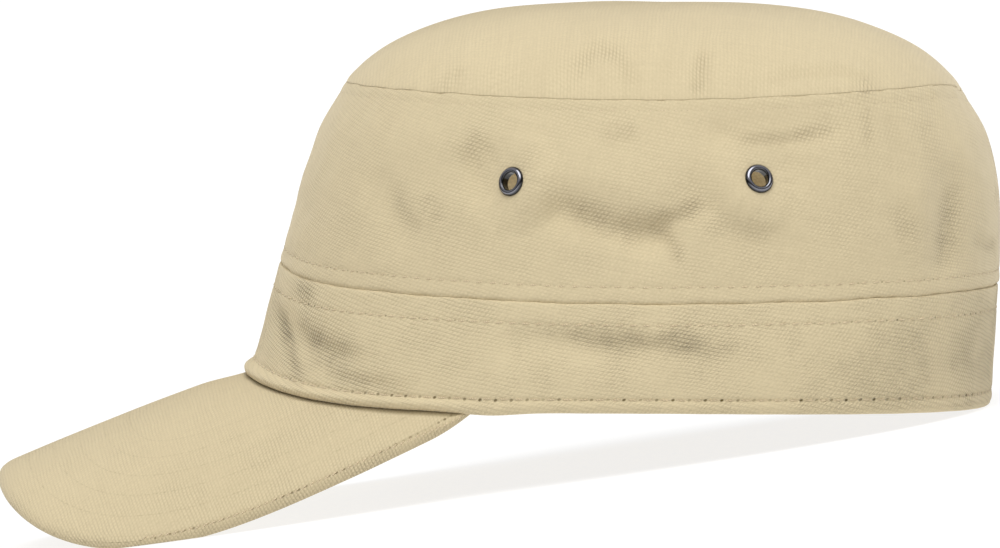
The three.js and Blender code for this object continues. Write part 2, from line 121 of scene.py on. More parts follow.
# The right side repeats the left one's folds and painted shade about a middle, and more softly.
mirrored = {"middleY": 8, "folds": 0.8, "creases": 0.6, "paintedCreaseShade": 0.3}
topCrease = {"y": 22.5, "fromX": 22, "fullX": 44, "width": 5, "depth": -0.9}
dome = {"apexY": 8, "apexZ": 107.5, "power": 3.3, "edgePower": 16, "edgeShare": 0.15}
peak = {
    "slope": math.radians(21.2), "heelY": -51.2, "heelZ": 27.2, "heelRadius": 118, "tipRadius": 89.5,
    "length": 125, "widestAlong": 31.7, "halfWidth": 88.5, "toTip": 93.4, "toHeel": 68.1, "power": 2.96,
    "rimSweep": math.radians(117), "endAngle": math.radians(65), "settle": 14, "bow": 0.9, "bowFrom": 40,
}
eyeletPlaces = {
    "front": {"y": -24.9, "z": 61.6, "turn": math.radians(-20), "nod": math.radians(3)},
    "rear": {"y": 40.0, "z": 62.5, "turn": math.radians(13), "nod": math.radians(10)},
}
eyeletPillow = {"height": 0.8, "flat": 5.5, "reach": 15}


def smoothstep(value, low, high):
    share = np.clip((value - low) / (high - low), 0, 1)
    return share * share * (3 - 2 * share)


def lerp(a, b, share):
    return a + (b - a) * share


def swell(away, width):
    return np.exp(-(away / width) ** 2)


# A smooth curve through one row of the sections table, at a level that may lie between two of them.
def column(key, level):
    values = sections[key]
    last = len(values) - 1
    level = np.asarray(level, float)
    index = np.clip(np.floor(level), 0, last - 1).astype(int)
    a, b, c, d = [values[np.clip(index + shift, 0, last)] for shift in (-1, 0, 1, 2)]
    t = level - index
    return b + 0.5 * t * (c - a + t * (2 * a - 5 * b + 4 * c - d + t * (3 * (b - c) + d - a)))


def superellipse(shareA, shareB, power):
    return (np.abs(shareA) ** power + np.abs(shareB) ** power) ** (-1 / power)


# A point of the side's outer surface. The angle is from the centre front towards the wearer's left.
def smoothWall(angle, level):
    angle, level = np.broadcast_arrays(np.asarray(angle, float), np.asarray(level, float))
    forward, sideways = np.cos(angle), np.sin(angle)
    widestY = column("widestY", level)
    toFront = forward > 0
    length = np.where(toFront, widestY - column("frontY", level), column("backY", level) - widestY)
    power = np.where(toFront, roundness["front"], roundness["back"])
    radius = superellipse(sideways / column("halfWidth", level), forward / length, power)
    side = column("side", level)
    turned = np.arctan2(sideways, forward) / np.radians(column("crestAngle", level))
    crest = column("crest", level)
    fromBack = np.arctan2(sideways, -forward) / math.radians(ridge["halfAngle"])
    dip = ridge["dip"] * smoothstep(level, levelOf["wallHigh"], levelOf["topSeam"])
    hump = crest * np.exp(-turned ** 2) + (1 - crest) * forward ** 2
    frontRise = (column("front", level) - side) * hump
    backRise = (column("back", level) - side) * forward ** 2 - dip * np.exp(-fromBack ** 2)
    height = side + np.where(toFront, frontRise, backRise)
    return np.stack([radius * sideways, widestY - radius * forward, height], -1)


def normalAt(surface, a, b, stepA, stepB):
    alongA = surface(a + stepA, b) - surface(a - stepA, b)
    alongB = surface(a, b + stepB) - surface(a, b - stepB)
    normal = np.cross(alongA, alongB)
    return normal / np.linalg.norm(normal, axis=-1, keepdims=True)


def wallNormal(angle, level):
    return normalAt(smoothWall, angle, np.clip(level, 0.02, len(levelNames) - 1.02), 0.01, 0.02)


def foldSum(rows, y, z):
    total = np.zeros_like(y)
    for y1, z1, y2, z2, width, depth in rows:
        alongY, alongZ = y2 - y1, z2 - z1
        share = np.clip(((y - y1) * alongY + (z - z1) * alongZ) / (alongY ** 2 + alongZ ** 2), 0, 1)
        total += depth * swell(np.hypot(y - y1 - share * alongY, z - z1 - share * alongZ), width)
    return total


# How far the folds push the cloth out. Round an eyelet the cloth lies flat, square to the eyelet.
def foldDepth(point):
    x, y, z = point[..., 0], point[..., 1], point[..., 2]
    left = x > 0
    depth = foldSum(folds, np.where(left, y, 2 * mirrored["middleY"] - y), z)
    for place in eyeletPlaces.values():
        aboutY, aboutZ = y - place["y"], z - place["z"]
        flat = eyeletPillow["height"] - aboutY * math.tan(place["turn"]) - aboutZ * math.tan(place["nod"])
        fade = smoothstep(np.hypot(aboutY, aboutZ), eyeletPillow["flat"], eyeletPillow["reach"])
        depth = lerp(flat, depth, fade)
    return depth * np.where(left, 1, mirrored["folds"]) * smoothstep(np.abs(x), 4, 22)


# Where points lie beside a stroke: how many widths away, the same across it with a sign, and the share of its
# length that they have passed.
def besideStroke(line, width, y, z):
    lengths = [math.dist(line[index], line[index + 1]) for index in range(len(line) - 1)]
    nearest, across, share = np.full_like(y, 99.0), np.zeros_like(y), np.zeros_like(y)
    for index, length in enumerate(lengths):
        y1, z1 = line[index]
        stepY, stepZ = (line[index + 1][0] - y1) / length, (line[index + 1][1] - z1) / length
        along = (y - y1) * stepY + (z - z1) * stepZ
        aside = (z - z1) * stepY - (y - y1) * stepZ
        inside = np.clip(along, 0, length)
        away = np.hypot(along - inside, aside) / width
        closer = away < nearest
        nearest = np.where(closer, away, nearest)
        across = np.where(closer, aside / width, across)
        share = np.where(closer, (sum(lengths[:index]) + inside) / sum(lengths), share)
    return nearest, across, share


# What the creases do at a point: how far they push the cloth out, and how much painted shade they add.
def creasesAt(point):
    x, y, z = point[..., 0], point[..., 1], point[..., 2]
    left = x > 0
    y = np.where(left, y, 2 * mirrored["middleY"] - y)
    depth, shade = np.zeros_like(y), np.zeros_like(y)
    fadeFrom, fadeTo = creaseShape["fadeFrom"], creaseShape["fadeTo"]
    for line, width, lap, dent, dark in creases:
        nearest, across, share = besideStroke(line, width, y, z)
        fade = smoothstep(share, fadeFrom, fadeTo) * smoothstep(1 - share, fadeFrom, fadeTo)
        near = np.exp(-nearest ** 2) * fade
        depth += (creaseShape["lapSlope"] * lap * np.clip(across, -2, 2) - dent) * near
        shade += dark * near
    shade *= 1 + creaseShape["unevenShade"] * ripples(y, z, creaseShape["patchLength"], 61)
    fromBackSeam = smoothstep(np.abs(x), 4, 20)
    depth *= fromBackSeam * np.where(left, 1, mirrored["creases"])
    shade *= fromBackSeam * np.where(left, 1, mirrored["paintedCreaseShade"])
    return depth, shade


# Smooth seeded ripples of about one wavelength, from -1 to 1.
def ripples(x, y, wavelength, seed):
    source = np.random.default_rng(seed)
    total = np.zeros_like(x)
    for _ in range(7):
        direction = source.uniform(0, math.pi)
        pace = 2 * math.pi / (wavelength * source.uniform(0.7, 1.5))
        phase = source.uniform(0, 2 * math.pi)
        total += np.sin(pace * (x * math.cos(direction) + y * math.sin(direction)) + phase)
    return total / 4.5


# Seams wander a little, as they do when sewn by hand: slowly, and from stitch to stitch.
seamWander = {"radius": 88, "slow": 0.20, "slowLength": 17, "quick": 0.07, "quickLength": 3.4, "fade": 4}


def seamWobble(angle, seed, fromSeam):
    along = angle * seamWander["radius"]
    wave = seamWander["slow"] * ripples(along, 0 * angle, seamWander["slowLength"], seed)
    wave += seamWander["quick"] * ripples(along, 0 * angle, seamWander["quickLength"], seed + 5)
    return wave * smoothstep(math.pi - np.abs(angle), 0, 0.1) * np.exp(-fromSeam / seamWander["fade"])


# Ridges and grooves that run along a seam. A table's rows hold the distance from the seam, the width, the
# rise, and how much of the puckers it takes.
def seamRelief(rows, away, pucker):
    return sum((rise + wave * pucker) * swell(away - middle, width) for middle, width, rise, wave in rows)


# The cloth tucked into a seam, unevenly from stitch to stitch.
def seamTuck(away, width, depth, uneven, length, pitch, seed):
    return -depth * swell(away, width) * (1 + uneven * ripples(length, 0 * length, pitch, seed))


# From 0 on the centre back seam to 1 a little way from it, so that what ripples meets itself there.
def clearOfBack(share, length):
    return smoothstep(np.minimum(share, 1 - share) * length, 0, 8)


def foldedWall(angle, level):
    point = smoothWall(angle, level)
    fromSeams = [np.abs(level - levelOf[seam]) for seam in ("bottom", "bandSeam", "topSeam")]
    held = smoothstep(np.minimum.reduce(fromSeams), 0, 0.8)
    return point + wallNormal(angle, level) * (foldDepth(point) * held)[..., None]


def directionToWorld(vectors):
    c, s = math.cos(rest["pitch"]), math.sin(rest["pitch"])
    vectors = np.asarray(vectors, float)
    y = c * vectors[..., 1] + s * vectors[..., 2]
    z = -s * vectors[..., 1] + c * vectors[..., 2]
    return np.stack([vectors[..., 0], y, z], -1)


# In metres on the table, where the cloth flattens a little.
def toWorld(points):
    placed = directionToWorld(points) + np.array([0, rest["backward"], rest["up"]])
    placed[..., 2] = np.maximum(placed[..., 2], 0)
    return placed / 1000


# Level on the side for a height there, and the turn round the cap for a share of its length from the
# centre back over the right side.
fineLevels = np.linspace(0, len(levelNames) - 1, 600)
fineTurns = np.linspace(-math.pi, math.pi, 3001)


def levelAtSide(height):
    return np.interp(height, column("side", fineLevels), fineLevels)


def lengthsAround(level):
    ring = smoothWall(fineTurns, level)
    steps = np.linalg.norm(np.diff(ring, axis=0), axis=-1)
    return np.concatenate([[0], np.cumsum(steps)])


def turnAtShare(share, level):
    lengths = lengthsAround(level)
    return np.interp(share, lengths / lengths[-1], fineTurns)


# A value between the rows of a grid, with t from 0 at the first row to 1 at the last.
def rowValue(t, values):
    return np.interp(t, np.linspace(0, 1, len(values)), values)


# A grid made by bmesh whose points place(s, t) moves, s and t from 0 to 1. Its UV maps are in millimetres.
def gridMesh(name, columns, rows, place, uvMaps):
    bm = bmesh.new()
    bmesh.ops.create_grid(bm, x_segments=columns, y_segments=rows, size=0.5)
    mesh = bpy.data.meshes.new(name)
    bm.to_mesh(mesh)
    bm.free()
    flat = np.empty(len(mesh.vertices) * 3)
    mesh.vertices.foreach_get("co", flat)
    flat = flat.reshape(-1, 3) + 0.5
    points = place(flat[:, 0], flat[:, 1])
    mesh.vertices.foreach_set("co", toWorld(points).ravel())
    corners = np.empty(len(mesh.loops), int)
    mesh.loops.foreach_get("vertex_index", corners)
    for key, uvAt in uvMaps.items():
        layer = mesh.uv_layers.new(name=key)
        uv = np.stack(uvAt(flat[:, 0], flat[:, 1]), -1)
        layer.data.foreach_set("uv", uv[corners].ravel())
    return mesh


def smoothPiece(name, bm, material):
    piece = bpy.data.objects.new(name, bpy.data.meshes.new(name))
    bm.to_mesh(piece.data)
    bm.free()
    piece.data.materials.append(material)
    piece.data.shade_smooth()
    bpy.context.collection.objects.link(piece)
    return piece


# Joins grids into one welded piece, its faces outward. For an open sheet outwardAt tells which way that is.
def clothPiece(name, meshes, material, outwardAt=None, cut=None, closeEnds=False):
    bm = bmesh.new()
    for mesh in meshes:
        bm.from_mesh(mesh)
    bmesh.ops.remove_doubles(bm, verts=bm.verts, dist=2e-6)
    if cut:
        cut(bm)
    if closeEnds:
        bmesh.ops.holes_fill(bm, edges=[edge for edge in bm.edges if edge.is_boundary], sides=0)
    bmesh.ops.recalc_face_normals(bm, faces=bm.faces)
    bm.normal_update()
    if outwardAt and sum(face.normal.dot(outwardAt(face.calc_center_median())) for face in bm.faces) < 0:
        bmesh.ops.reverse_faces(bm, faces=bm.faces)
    return smoothPiece(name, bm, material)


def giveThickness(piece, thickness):
    wall = piece.modifiers.new("thickness", "SOLIDIFY")
    wall.thickness = thickness
    wall.offset = -1


def belongs(piece, slot, *nodes):
    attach(piece, "root")
    if nodes:
        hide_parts(*nodes)


# Node helpers: a socket's value may be a number, a colour or another node's output.
def addNode(tree, kind, settings=None, **sockets):
    node = tree.nodes.new(kind)
    for key, value in (settings or {}).items():
        setattr(node, key, value)
    for key, value in sockets.items():
        socket = node.inputs[int(key[1:])] if key[0] == "i" and key[1:].isdigit() else node.inputs[key]
        if isinstance(value, bpy.types.NodeSocket):
            tree.links.new(value, socket)
        else:
            socket.default_value = value
    return node


def maths(tree, operation, first, second=0.0, third=0.0):
    node = addNode(tree, "ShaderNodeMath", {"operation": operation}, i0=first, i1=second, i2=third)
    return node.outputs[0]


def mixColour(tree, factor, first, second, blend="MIX"):
    node = tree.nodes.new("ShaderNodeMix")
    node.data_type = "RGBA"
    node.blend_type = blend
    sockets = {"Factor": 0, "A": 6, "B": 7}
    for key, value in (("Factor", factor), ("A", first), ("B", second)):
        socket = node.inputs[sockets[key]]
        if isinstance(value, bpy.types.NodeSocket):
            tree.links.new(value, socket)
        else:
            socket.default_value = value
    return node.outputs[2]


def times(tree, first, second):
    return maths(tree, "MULTIPLY", first, second)


def minus(tree, first, second):
    return maths(tree, "SUBTRACT", first, second)


def ranged(tree, value, fromLow, fromHigh, toLow, toHigh, smooth=False):
    kind = "SMOOTHSTEP" if smooth else "LINEAR"
    node = addNode(tree, "ShaderNodeMapRange", {"interpolation_type": kind}, Value=value)
    for key, number in zip(("From Min", "From Max", "To Min", "To Max"), (fromLow, fromHigh, toLow, toHigh)):
        node.inputs[key].default_value = number
    return node.outputs[0]


def noise(tree, place, scale, detail=2.0, roughness=0.5):
    node = addNode(tree, "ShaderNodeTexNoise", Vector=place, Scale=scale, Detail=detail, Roughness=roughness)
    return node.outputs[0]


def uvAxes(tree, name):
    uv = addNode(tree, "ShaderNodeUVMap", {"uv_map": name}).outputs[0]
    parts = addNode(tree, "ShaderNodeSeparateXYZ", Vector=uv)
    return uv, parts.outputs[0], parts.outputs[1]


def newMaterial(name):
    material = bpy.data.materials.new(name)
    material.use_nodes = True
    material.node_tree.nodes.clear()
    return material, material.node_tree


def finishSurface(tree, shader):
    output = addNode(tree, "ShaderNodeOutputMaterial")
    tree.links.new(shader.outputs[0], output.inputs[0])


# The hole colour is painted shade: in needle holes and grooves, and the painted shadow where the band rides
# on the peak.
canvas = {
    "light": (0.655, 0.552, 0.352, 1), "dark": (0.33, 0.262, 0.155, 1), "hole": (0.12, 0.085, 0.025, 1),
    "rowPitch": 0.975, "threadPitch": 0.565, "roundness": 0.7, "wander": 0.25, "wanderScale": 0.09,
    "fuzzScale": 1500.0, "patchScale": 75.0, "blotchScale": 22.0, "bump": 0.00022, "holeDepth": 2.0,
    "middleHeight": 0.43, "contrast": 0.34, "paintedShadeDark": 0.30, "specular": 0.25, "sheen": 0.40,
    "sheenRoughness": 0.5, "sheenTint": (1.0, 0.90, 0.72, 1),
}


# The height of thick rows of thread, with nubs that shift by half a nub from row to row. Threads differ: a
# slow change goes along each row and each warp thread.
def weaveOf(tree, uv, u, v, nubs):
    wandering, most = noise(tree, uv, canvas["wanderScale"]), canvas["wander"]
    wander = ranged(tree, wandering, 0.3, 0.7, -most, most)
    row = maths(tree, "DIVIDE", maths(tree, "ADD", v, wander), canvas["rowPitch"])
    thread = maths(tree, "DIVIDE", minus(tree, u, wander), canvas["threadPitch"])
    phase = times(tree, minus(tree, thread, row), math.pi)
    nub = ranged(tree, maths(tree, "COSINE", phase), -1, 1, 1 - nubs, 1.0)
    inRow = times(tree, maths(tree, "FRACT", row), math.pi)
    threadHeight = times(tree, nub, maths(tree, "POWER", maths(tree, "SINE", inRow), canvas["roundness"]))
    rowIndex, warpIndex = maths(tree, "FLOOR", row), maths(tree, "FLOOR", thread)
    alongRow = addNode(tree, "ShaderNodeCombineXYZ", X=times(tree, u, 0.05), Y=times(tree, rowIndex, 3.7))
    alongWarp = addNode(tree, "ShaderNodeCombineXYZ", X=times(tree, warpIndex, 2.9), Y=times(tree, v, 0.05))
    slubs = maths(tree, "ADD", noise(tree, alongRow.outputs[0], 1.0), noise(tree, alongWarp.outputs[0], 1.0))
    return threadHeight, slubs


# A stitched row may be fainter along some stretch: its middle, and how far from there it begins and ends.
def calmed(tree, mask, along, row):
    if "calm" not in row:
        return mask
    middle, inside, outside = row["calm"]
    away = maths(tree, "ABSOLUTE", minus(tree, along, middle))
    return times(tree, mask, ranged(tree, away, inside, outside, 0.3, 1.0, True))


# Painted shade in needle holes and grooves, by height in a UV map, the pitch along it, and how dark the holes
# are.
def holesOf(tree, stitchMap, stitchRows, grooves):
    _, along, up = uvAxes(tree, stitchMap)
    masks = []
    for row in stitchRows:
        step = maths(tree, "DIVIDE", along, row["pitch"])
        inCell = minus(tree, maths(tree, "FRACT", step), 0.5)
        inCell = times(tree, inCell, row["pitch"] / row["holeLength"])
        above = maths(tree, "DIVIDE", minus(tree, up, row["height"]), row["holeHeight"])
        away = maths(tree, "ADD", times(tree, inCell, inCell), times(tree, above, above))
        away = maths(tree, "SQRT", away)
        cell = maths(tree, "FLOOR", step)
        luck = addNode(tree, "ShaderNodeTexWhiteNoise", {"noise_dimensions": "1D"}, W=cell).outputs[0]
        dark = ranged(tree, luck, 0, 1, row["faintest"], row["darkest"])
        mask = times(tree, ranged(tree, away, 0.45, 1.0, 1.0, 0.0, True), dark)
        masks.append(calmed(tree, mask, along, row))
    for groove in grooves:
        away = maths(tree, "ABSOLUTE", minus(tree, up, groove["height"]))
        mask = times(tree, ranged(tree, away, 0.0, groove["width"], 1.0, 0.0, True), groove["strength"])
        masks.append(calmed(tree, mask, along, groove))
    holes = masks[0]
    for mask in masks[1:]:
        holes = maths(tree, "MAXIMUM", holes, mask)
    return holes


# Cotton canvas: its weave turned by a tilt, a fine fuzz, soft blotches, and patches where the weave shows
# more. The shade map carries painted shade: its first channel darkens the cloth and brings out the weave, its
# second is a painted shadow, which only darkens.
def canvasMaterial(name, weave, even=0.86, tilt=0.0, nubs=0.75, relief=0.62, stitchMap="cloth", stitchRows=(),
                   grooves=()):
    material, tree = newMaterial(name)
    uv, across, upward = uvAxes(tree, "cloth")
    _, paintedShadeMask, paintedShadow = uvAxes(tree, "shade")
    place = addNode(tree, "ShaderNodeTexCoord").outputs["Object"]
    c, s = math.cos(math.radians(tilt)), math.sin(math.radians(tilt))
    u = minus(tree, times(tree, across, c), times(tree, upward, s))
    v = maths(tree, "ADD", times(tree, upward, c), times(tree, across, s))
    threadHeight, slubs = weaveOf(tree, uv, u, v, nubs)
    fuzz = noise(tree, place, canvas["fuzzScale"], 3.0, 0.65)
    height = times(tree, threadHeight, ranged(tree, slubs, 0.6, 1.4, 0.75, 1.15))
    height = maths(tree, "ADD", height, times(tree, fuzz, 0.6))

    patches = ranged(tree, noise(tree, place, canvas["patchScale"], 3.0, 0.6), 0.36, 0.64, 0.55, 1.45)
    contrast = maths(tree, "MULTIPLY_ADD", maths(tree, "MINIMUM", paintedShadeMask, 1.0), 1.9 * weave + 0.6, weave)
    contrast = times(tree, contrast, patches)
    shade = times(tree, minus(tree, threadHeight, canvas["middleHeight"]), contrast)
    shade = maths(tree, "MULTIPLY_ADD", shade, canvas["contrast"], even)
    blotches = noise(tree, place, canvas["blotchScale"], 4.0, 0.6)
    shade = times(tree, shade, ranged(tree, slubs, 0.6, 1.4, 0.91, 1.08))
    shade = times(tree, shade, ranged(tree, fuzz, 0.3, 0.7, 0.90, 1.10))
    shade = times(tree, shade, ranged(tree, blotches, 0.3, 0.7, 0.96, 1.03))
    shade = minus(tree, shade, times(tree, paintedShadeMask, canvas["paintedShadeDark"]))
    colour = mixColour(tree, shade, canvas["dark"], canvas["light"])
    colour = mixColour(tree, paintedShadow, colour, canvas["hole"])
    if stitchRows or grooves:
        holes = holesOf(tree, stitchMap, stitchRows, grooves)
        colour = mixColour(tree, holes, colour, canvas["hole"])
        height = minus(tree, height, times(tree, holes, canvas["holeDepth"]))

    strength = times(tree, contrast, relief)
    bump = addNode(tree, "ShaderNodeBump", Strength=strength, Distance=canvas["bump"], Height=height)
    shader = addNode(tree, "ShaderNodeBsdfPrincipled", Normal=bump.outputs[0])
    tree.links.new(colour, shader.inputs["Base Color"])
    tree.links.new(ranged(tree, fuzz, 0.3, 0.7, 0.86, 0.97), shader.inputs["Roughness"])
    shader.inputs["Specular IOR Level"].default_value = canvas["specular"]
    shader.inputs["Sheen Weight"].default_value = canvas["sheen"]
    shader.inputs["Sheen Roughness"].default_value = canvas["sheenRoughness"]
    shader.inputs["Sheen Tint"].default_value = canvas["sheenTint"]
    finishSurface(tree, shader)
    return material


# Sewing thread: the canvas's colour with a twist across it.
def threadMaterial():
    material, tree = newMaterial("cotton thread")
    place = addNode(tree, "ShaderNodeTexCoord").outputs["Object"]
    twist = addNode(tree, "ShaderNodeTexWave", {"bands_direction": "DIAGONAL"}, Vector=place, Scale=900.0,
                    Distortion=1.5).outputs[1]
    colour = mixColour(tree, twist, (0.50, 0.40, 0.25, 1), (0.68, 0.56, 0.37, 1))
    bump = addNode(tree, "ShaderNodeBump", Strength=0.5, Distance=0.00008, Height=twist)
    shader = addNode(tree, "ShaderNodeBsdfPrincipled", Normal=bump.outputs[0])
    tree.links.new(colour, shader.inputs["Base Color"])
    shader.inputs["Roughness"].default_value = 0.75
    shader.inputs["Sheen Weight"].default_value = 0.2
    finishSurface(tree, shader)
    return material


# Polished nickel plate with faint pressing marks.
def nickelMaterial():
    material, tree = newMaterial("polished nickel")
    place = addNode(tree, "ShaderNodeTexCoord").outputs["Object"]
    marks = noise(tree, place, 1400.0, 3.0)
    bump = addNode(tree, "ShaderNodeBump", Strength=0.12, Distance=0.00006, Height=marks)
    shader = addNode(tree, "ShaderNodeBsdfPrincipled", Normal=bump.outputs[0])
    tree.links.new(ranged(tree, marks, 0.3, 0.7, 0.12, 0.20), shader.inputs["Roughness"])
    # Its colour is painted near black in the creases, where the flange meets the cloth and inside the barrel:
    # painted shade.
    ring = addNode(tree, "ShaderNodeAttribute", {"attribute_name": "radius"}).outputs["Fac"]
    outside = ranged(tree, ring, 3.45, 3.85, 0.0, 1.0, True)
    inside = ranged(tree, ring, 2.55, 2.82, 1.0, 0.0, True)
    paintedRingShade = maths(tree, "MAXIMUM", outside, inside)
    clean = mixColour(tree, marks, (0.20, 0.20, 0.225, 1), (0.25, 0.25, 0.28, 1))
    tree.links.new(mixColour(tree, paintedRingShade, clean, (0.05, 0.05, 0.05, 1)), shader.inputs["Base Color"])
    shader.inputs["Metallic"].default_value = 1.0
    finishSurface(tree, shader)
    return material


# The crown wall, by height over the band seam. Its lower edge puffs over the seam, and both edges turn in.
crownWall = {
    "height": 53.1, "columns": 500, "thickness": 0.0015, "seam": 30.0, "stitchUp": 4.3, "stitchPitch": 3.6,
    "topStitchDown": 2.7, "held": 0.8, "wave": 0.22, "waveLength": 26, "ripple": 0.08, "rippleLength": 9,
    "backGroove": 0.6, "backRidge": 0.25, "turnIn": 2.2, "turnUp": 1.3, "turnUnder": 1.6,
}
# Distance from the seam, width, rise and the share of the puckers.
wallLowerRelief = [
    (1.7, 1.3, 0.12, 0.084),
    (crownWall["stitchUp"], 0.6, -0.10, -0.08),
    (7, 3, 0, 0.12),
]
wallUpperRelief = [
    (1.3, 1.0, 0.12, 0.108),
    (crownWall["topStitchDown"], 0.5, -0.05, 0),
    (4, 3.5, 0, 0.16),
]
wallMiddle = levelAtSide(crownWall["seam"] + crownWall["height"] / 2)
wallLength = lengthsAround(wallMiddle)[-1]
wallStitches = round(wallLength / crownWall["stitchPitch"])


# Small tucks fan out from each eyelet, between these distances from its middle.
eyeletTuck = {"depth": 0.16, "from": 4.4, "full": 6, "fading": 7, "gone": 13, "clearFrom": 4.5, "clear": 10}


# The tucks' depth at a point, and how far it is from the nearest eyelet.
def eyeletTucks(point):
    depth, nearest = np.zeros_like(point[..., 0]), np.full_like(point[..., 0], 99.0)
    for place in eyeletPlaces.values():
        aboutY, aboutZ = point[..., 1] - place["y"], point[..., 2] - place["z"]
        away, around = np.hypot(aboutY, aboutZ), np.arctan2(aboutZ, aboutY)
        nearest = np.minimum(nearest, away)
        pull = smoothstep(away, eyeletTuck["from"], eyeletTuck["full"])
        pull *= 1 - smoothstep(away, eyeletTuck["fading"], eyeletTuck["gone"])
        depth += eyeletTuck["depth"] * pull * np.sin(7 * around + 2 * np.sin(3 * around))
    return depth, nearest


def crownSurface(share, up):
    level = levelAtSide(crownWall["seam"] + up)
    angle = turnAtShare(share, wallMiddle)
    point = smoothWall(angle, level)
    normal = wallNormal(angle, level)
    u = share * wallLength
    fromTop = crownWall["height"] - up
    fromSeams = np.minimum(np.abs(level - levelOf["bandSeam"]), np.abs(level - levelOf["topSeam"]))
    closed = clearOfBack(share, wallLength)
    softHeld = smoothstep(np.minimum(up, fromTop), 1.0, 9) * closed
    depth = foldDepth(point) * smoothstep(fromSeams, 0, crownWall["held"])
    depth += creasesAt(point)[0] * softHeld
    tucks, byEyelet = eyeletTucks(point)
    clear = softHeld * smoothstep(byEyelet, eyeletTuck["clearFrom"], eyeletTuck["clear"])
    depth += tucks + crownWall["wave"] * ripples(u, up * 1.3, crownWall["waveLength"], 3) * clear
    depth += crownWall["ripple"] * ripples(u, up, crownWall["rippleLength"], 5) * clear
    # Both edges with their stitch rows, and the puckers that the stitches draw in.
    depth += seamRelief(wallLowerRelief, up, ripples(u, up * 0.2, 8, 11) * closed)
    depth += seamTuck(up, width=0.4, depth=0.42, uneven=0.5 * closed, length=u, pitch=3.6, seed=19)
    depth += seamRelief(wallUpperRelief, fromTop, ripples(u, up * 0.2, 10, 17) * closed)
    depth += seamTuck(fromTop, width=0.3, depth=0.15, uneven=0.7 * closed, length=u, pitch=4.2, seed=21)
    # The centre back seam.
    fromBack = np.minimum(u, wallLength - u)
    depth += crownWall["backRidge"] * swell(fromBack - 1.2, 0.8)
    depth -= crownWall["backGroove"] * swell(fromBack, 0.45)
    # Past the seams the edges turn in under the top panel and behind the band.
    turnedIn, turnedUnder = np.maximum(-fromTop, 0), np.maximum(-up, 0)
    depth = depth - crownWall["turnIn"] * turnedIn - crownWall["turnUnder"] * turnedUnder
    placed = point + normal * depth[..., None]
    placed[..., 2] += seamWobble(angle, 71, np.abs(up)) + seamWobble(angle, 73, np.abs(fromTop))
    placed[..., 2] += crownWall["turnUp"] * turnedIn
    return placed


# Painted shade from the creases on the crown wall, for the shade map.
def crownShade(share, up):
    angle = turnAtShare(share, wallMiddle)
    return creasesAt(smoothWall(angle, levelAtSide(crownWall["seam"] + up)))[1]


def crownRows():
    edge = [-0.5, -0.25, 0.0, 0.15, 0.35, 0.6, 0.9, 1.3, 1.8, 2.4, 3.0, 3.5, 3.9, 4.3, 4.7, 5.1, 5.7, 6.4]
    top = [-0.5, -0.25, 0.0, 0.15, 0.35, 0.6, 0.9, 1.3, 1.7, 2.1, 2.5, 2.9, 3.3, 3.8, 4.5, 5.4]
    middle = list(np.arange(7.3, crownWall["height"] - 5.8, 0.95))
    return np.array(edge + middle + [crownWall["height"] - value for value in reversed(top)])


# The seat of each eyelet: where its axis meets the cloth, and the way it faces.
def eyeletSeat(place, side):
    angle, level = side * math.pi / 2, float(levelOf["wallMiddle"])
    for _ in range(40):
        point = smoothWall(angle, level)
        angle += side * (place["y"] - point[1]) / 120
        level += (place["z"] - point[2]) / 20
    angle, level = np.array(angle), np.array(level)
    return foldedWall(angle, level), normalAt(foldedWall, angle, level, 0.03, 0.1)


seats = {
    f"{sideName}_{name}": eyeletSeat(place, side)
    for name, place in eyeletPlaces.items()
    for sideName, side in (("left", 1), ("right", -1))
}


# In metres: the hole's radius, and how far from its middle its faces and its edge are looked for.
eyeletHole = {"radius": 0.00285, "faces": 0.012, "edge": 0.007}


# Opens the cloth where each eyelet goes through, and rounds the hole.
def openEyeletHoles(bm):
    radius = eyeletHole["radius"]
    for centre, outward in seats.values():
        middle = Vector(toWorld(centre))
        axis = Vector(directionToWorld(outward))

        def offAxis(point):
            away = point - middle
            return away - axis * away.dot(axis)

        reach = eyeletHole["faces"]
        near = [face for face in bm.faces if (face.calc_center_median() - middle).length < reach]
        inside = [face for face in near if offAxis(face.calc_center_median()).length < radius]
        bmesh.ops.delete(bm, geom=inside, context="FACES")
        for vert in bm.verts:
            if vert.is_boundary and (vert.co - middle).length < eyeletHole["edge"]:
                away = offAxis(vert.co)
                vert.co += away.normalized() * (radius - away.length)


# The pieces' even values differ as painted light and shade: one canvas, made lighter on the band and darker
# on the peak to stand in for how the light falls on them.
crownMaterial = canvasMaterial(
    "crown canvas",
    stitchRows=[
        {"height": crownWall["stitchUp"], "pitch": wallLength / wallStitches, "holeLength": 0.45,
         "holeHeight": 0.3, "faintest": 0.0, "darkest": 0.70, "calm": (0.745 * wallLength, 40, 75)},
        {"height": crownWall["height"] - crownWall["topStitchDown"], "pitch": wallLength / wallStitches,
         "holeLength": 0.4, "holeHeight": 0.25, "faintest": 0.0, "darkest": 0.16},
    ],
    weave=0.66, tilt=11, even=0.85,
)
wallRows = crownRows()
crownMesh = gridMesh(
    "crown wall", crownWall["columns"], len(wallRows) - 1,
    lambda s, t: crownSurface(s, rowValue(t, wallRows)),
    {
        "cloth": lambda s, t: (s * wallLength, rowValue(t, wallRows)),
        "shade": lambda s, t: (crownShade(s, rowValue(t, wallRows)), 0 * s),
    },
)
crownMiddle = Vector(toWorld((0, dome["apexY"], 50)))


def outwardFromMiddle(point):
    return Vector((point.x - crownMiddle.x, point.y - crownMiddle.y, 0))


wallPiece = clothPiece("crown_wall_cloth", [crownMesh], crownMaterial, outwardFromMiddle, openEyeletHoles)
giveThickness(wallPiece, crownWall["thickness"])
belongs(wallPiece, "canvas", "crown_wall")
print("crown wall made", len(wallPiece.data.polygons))


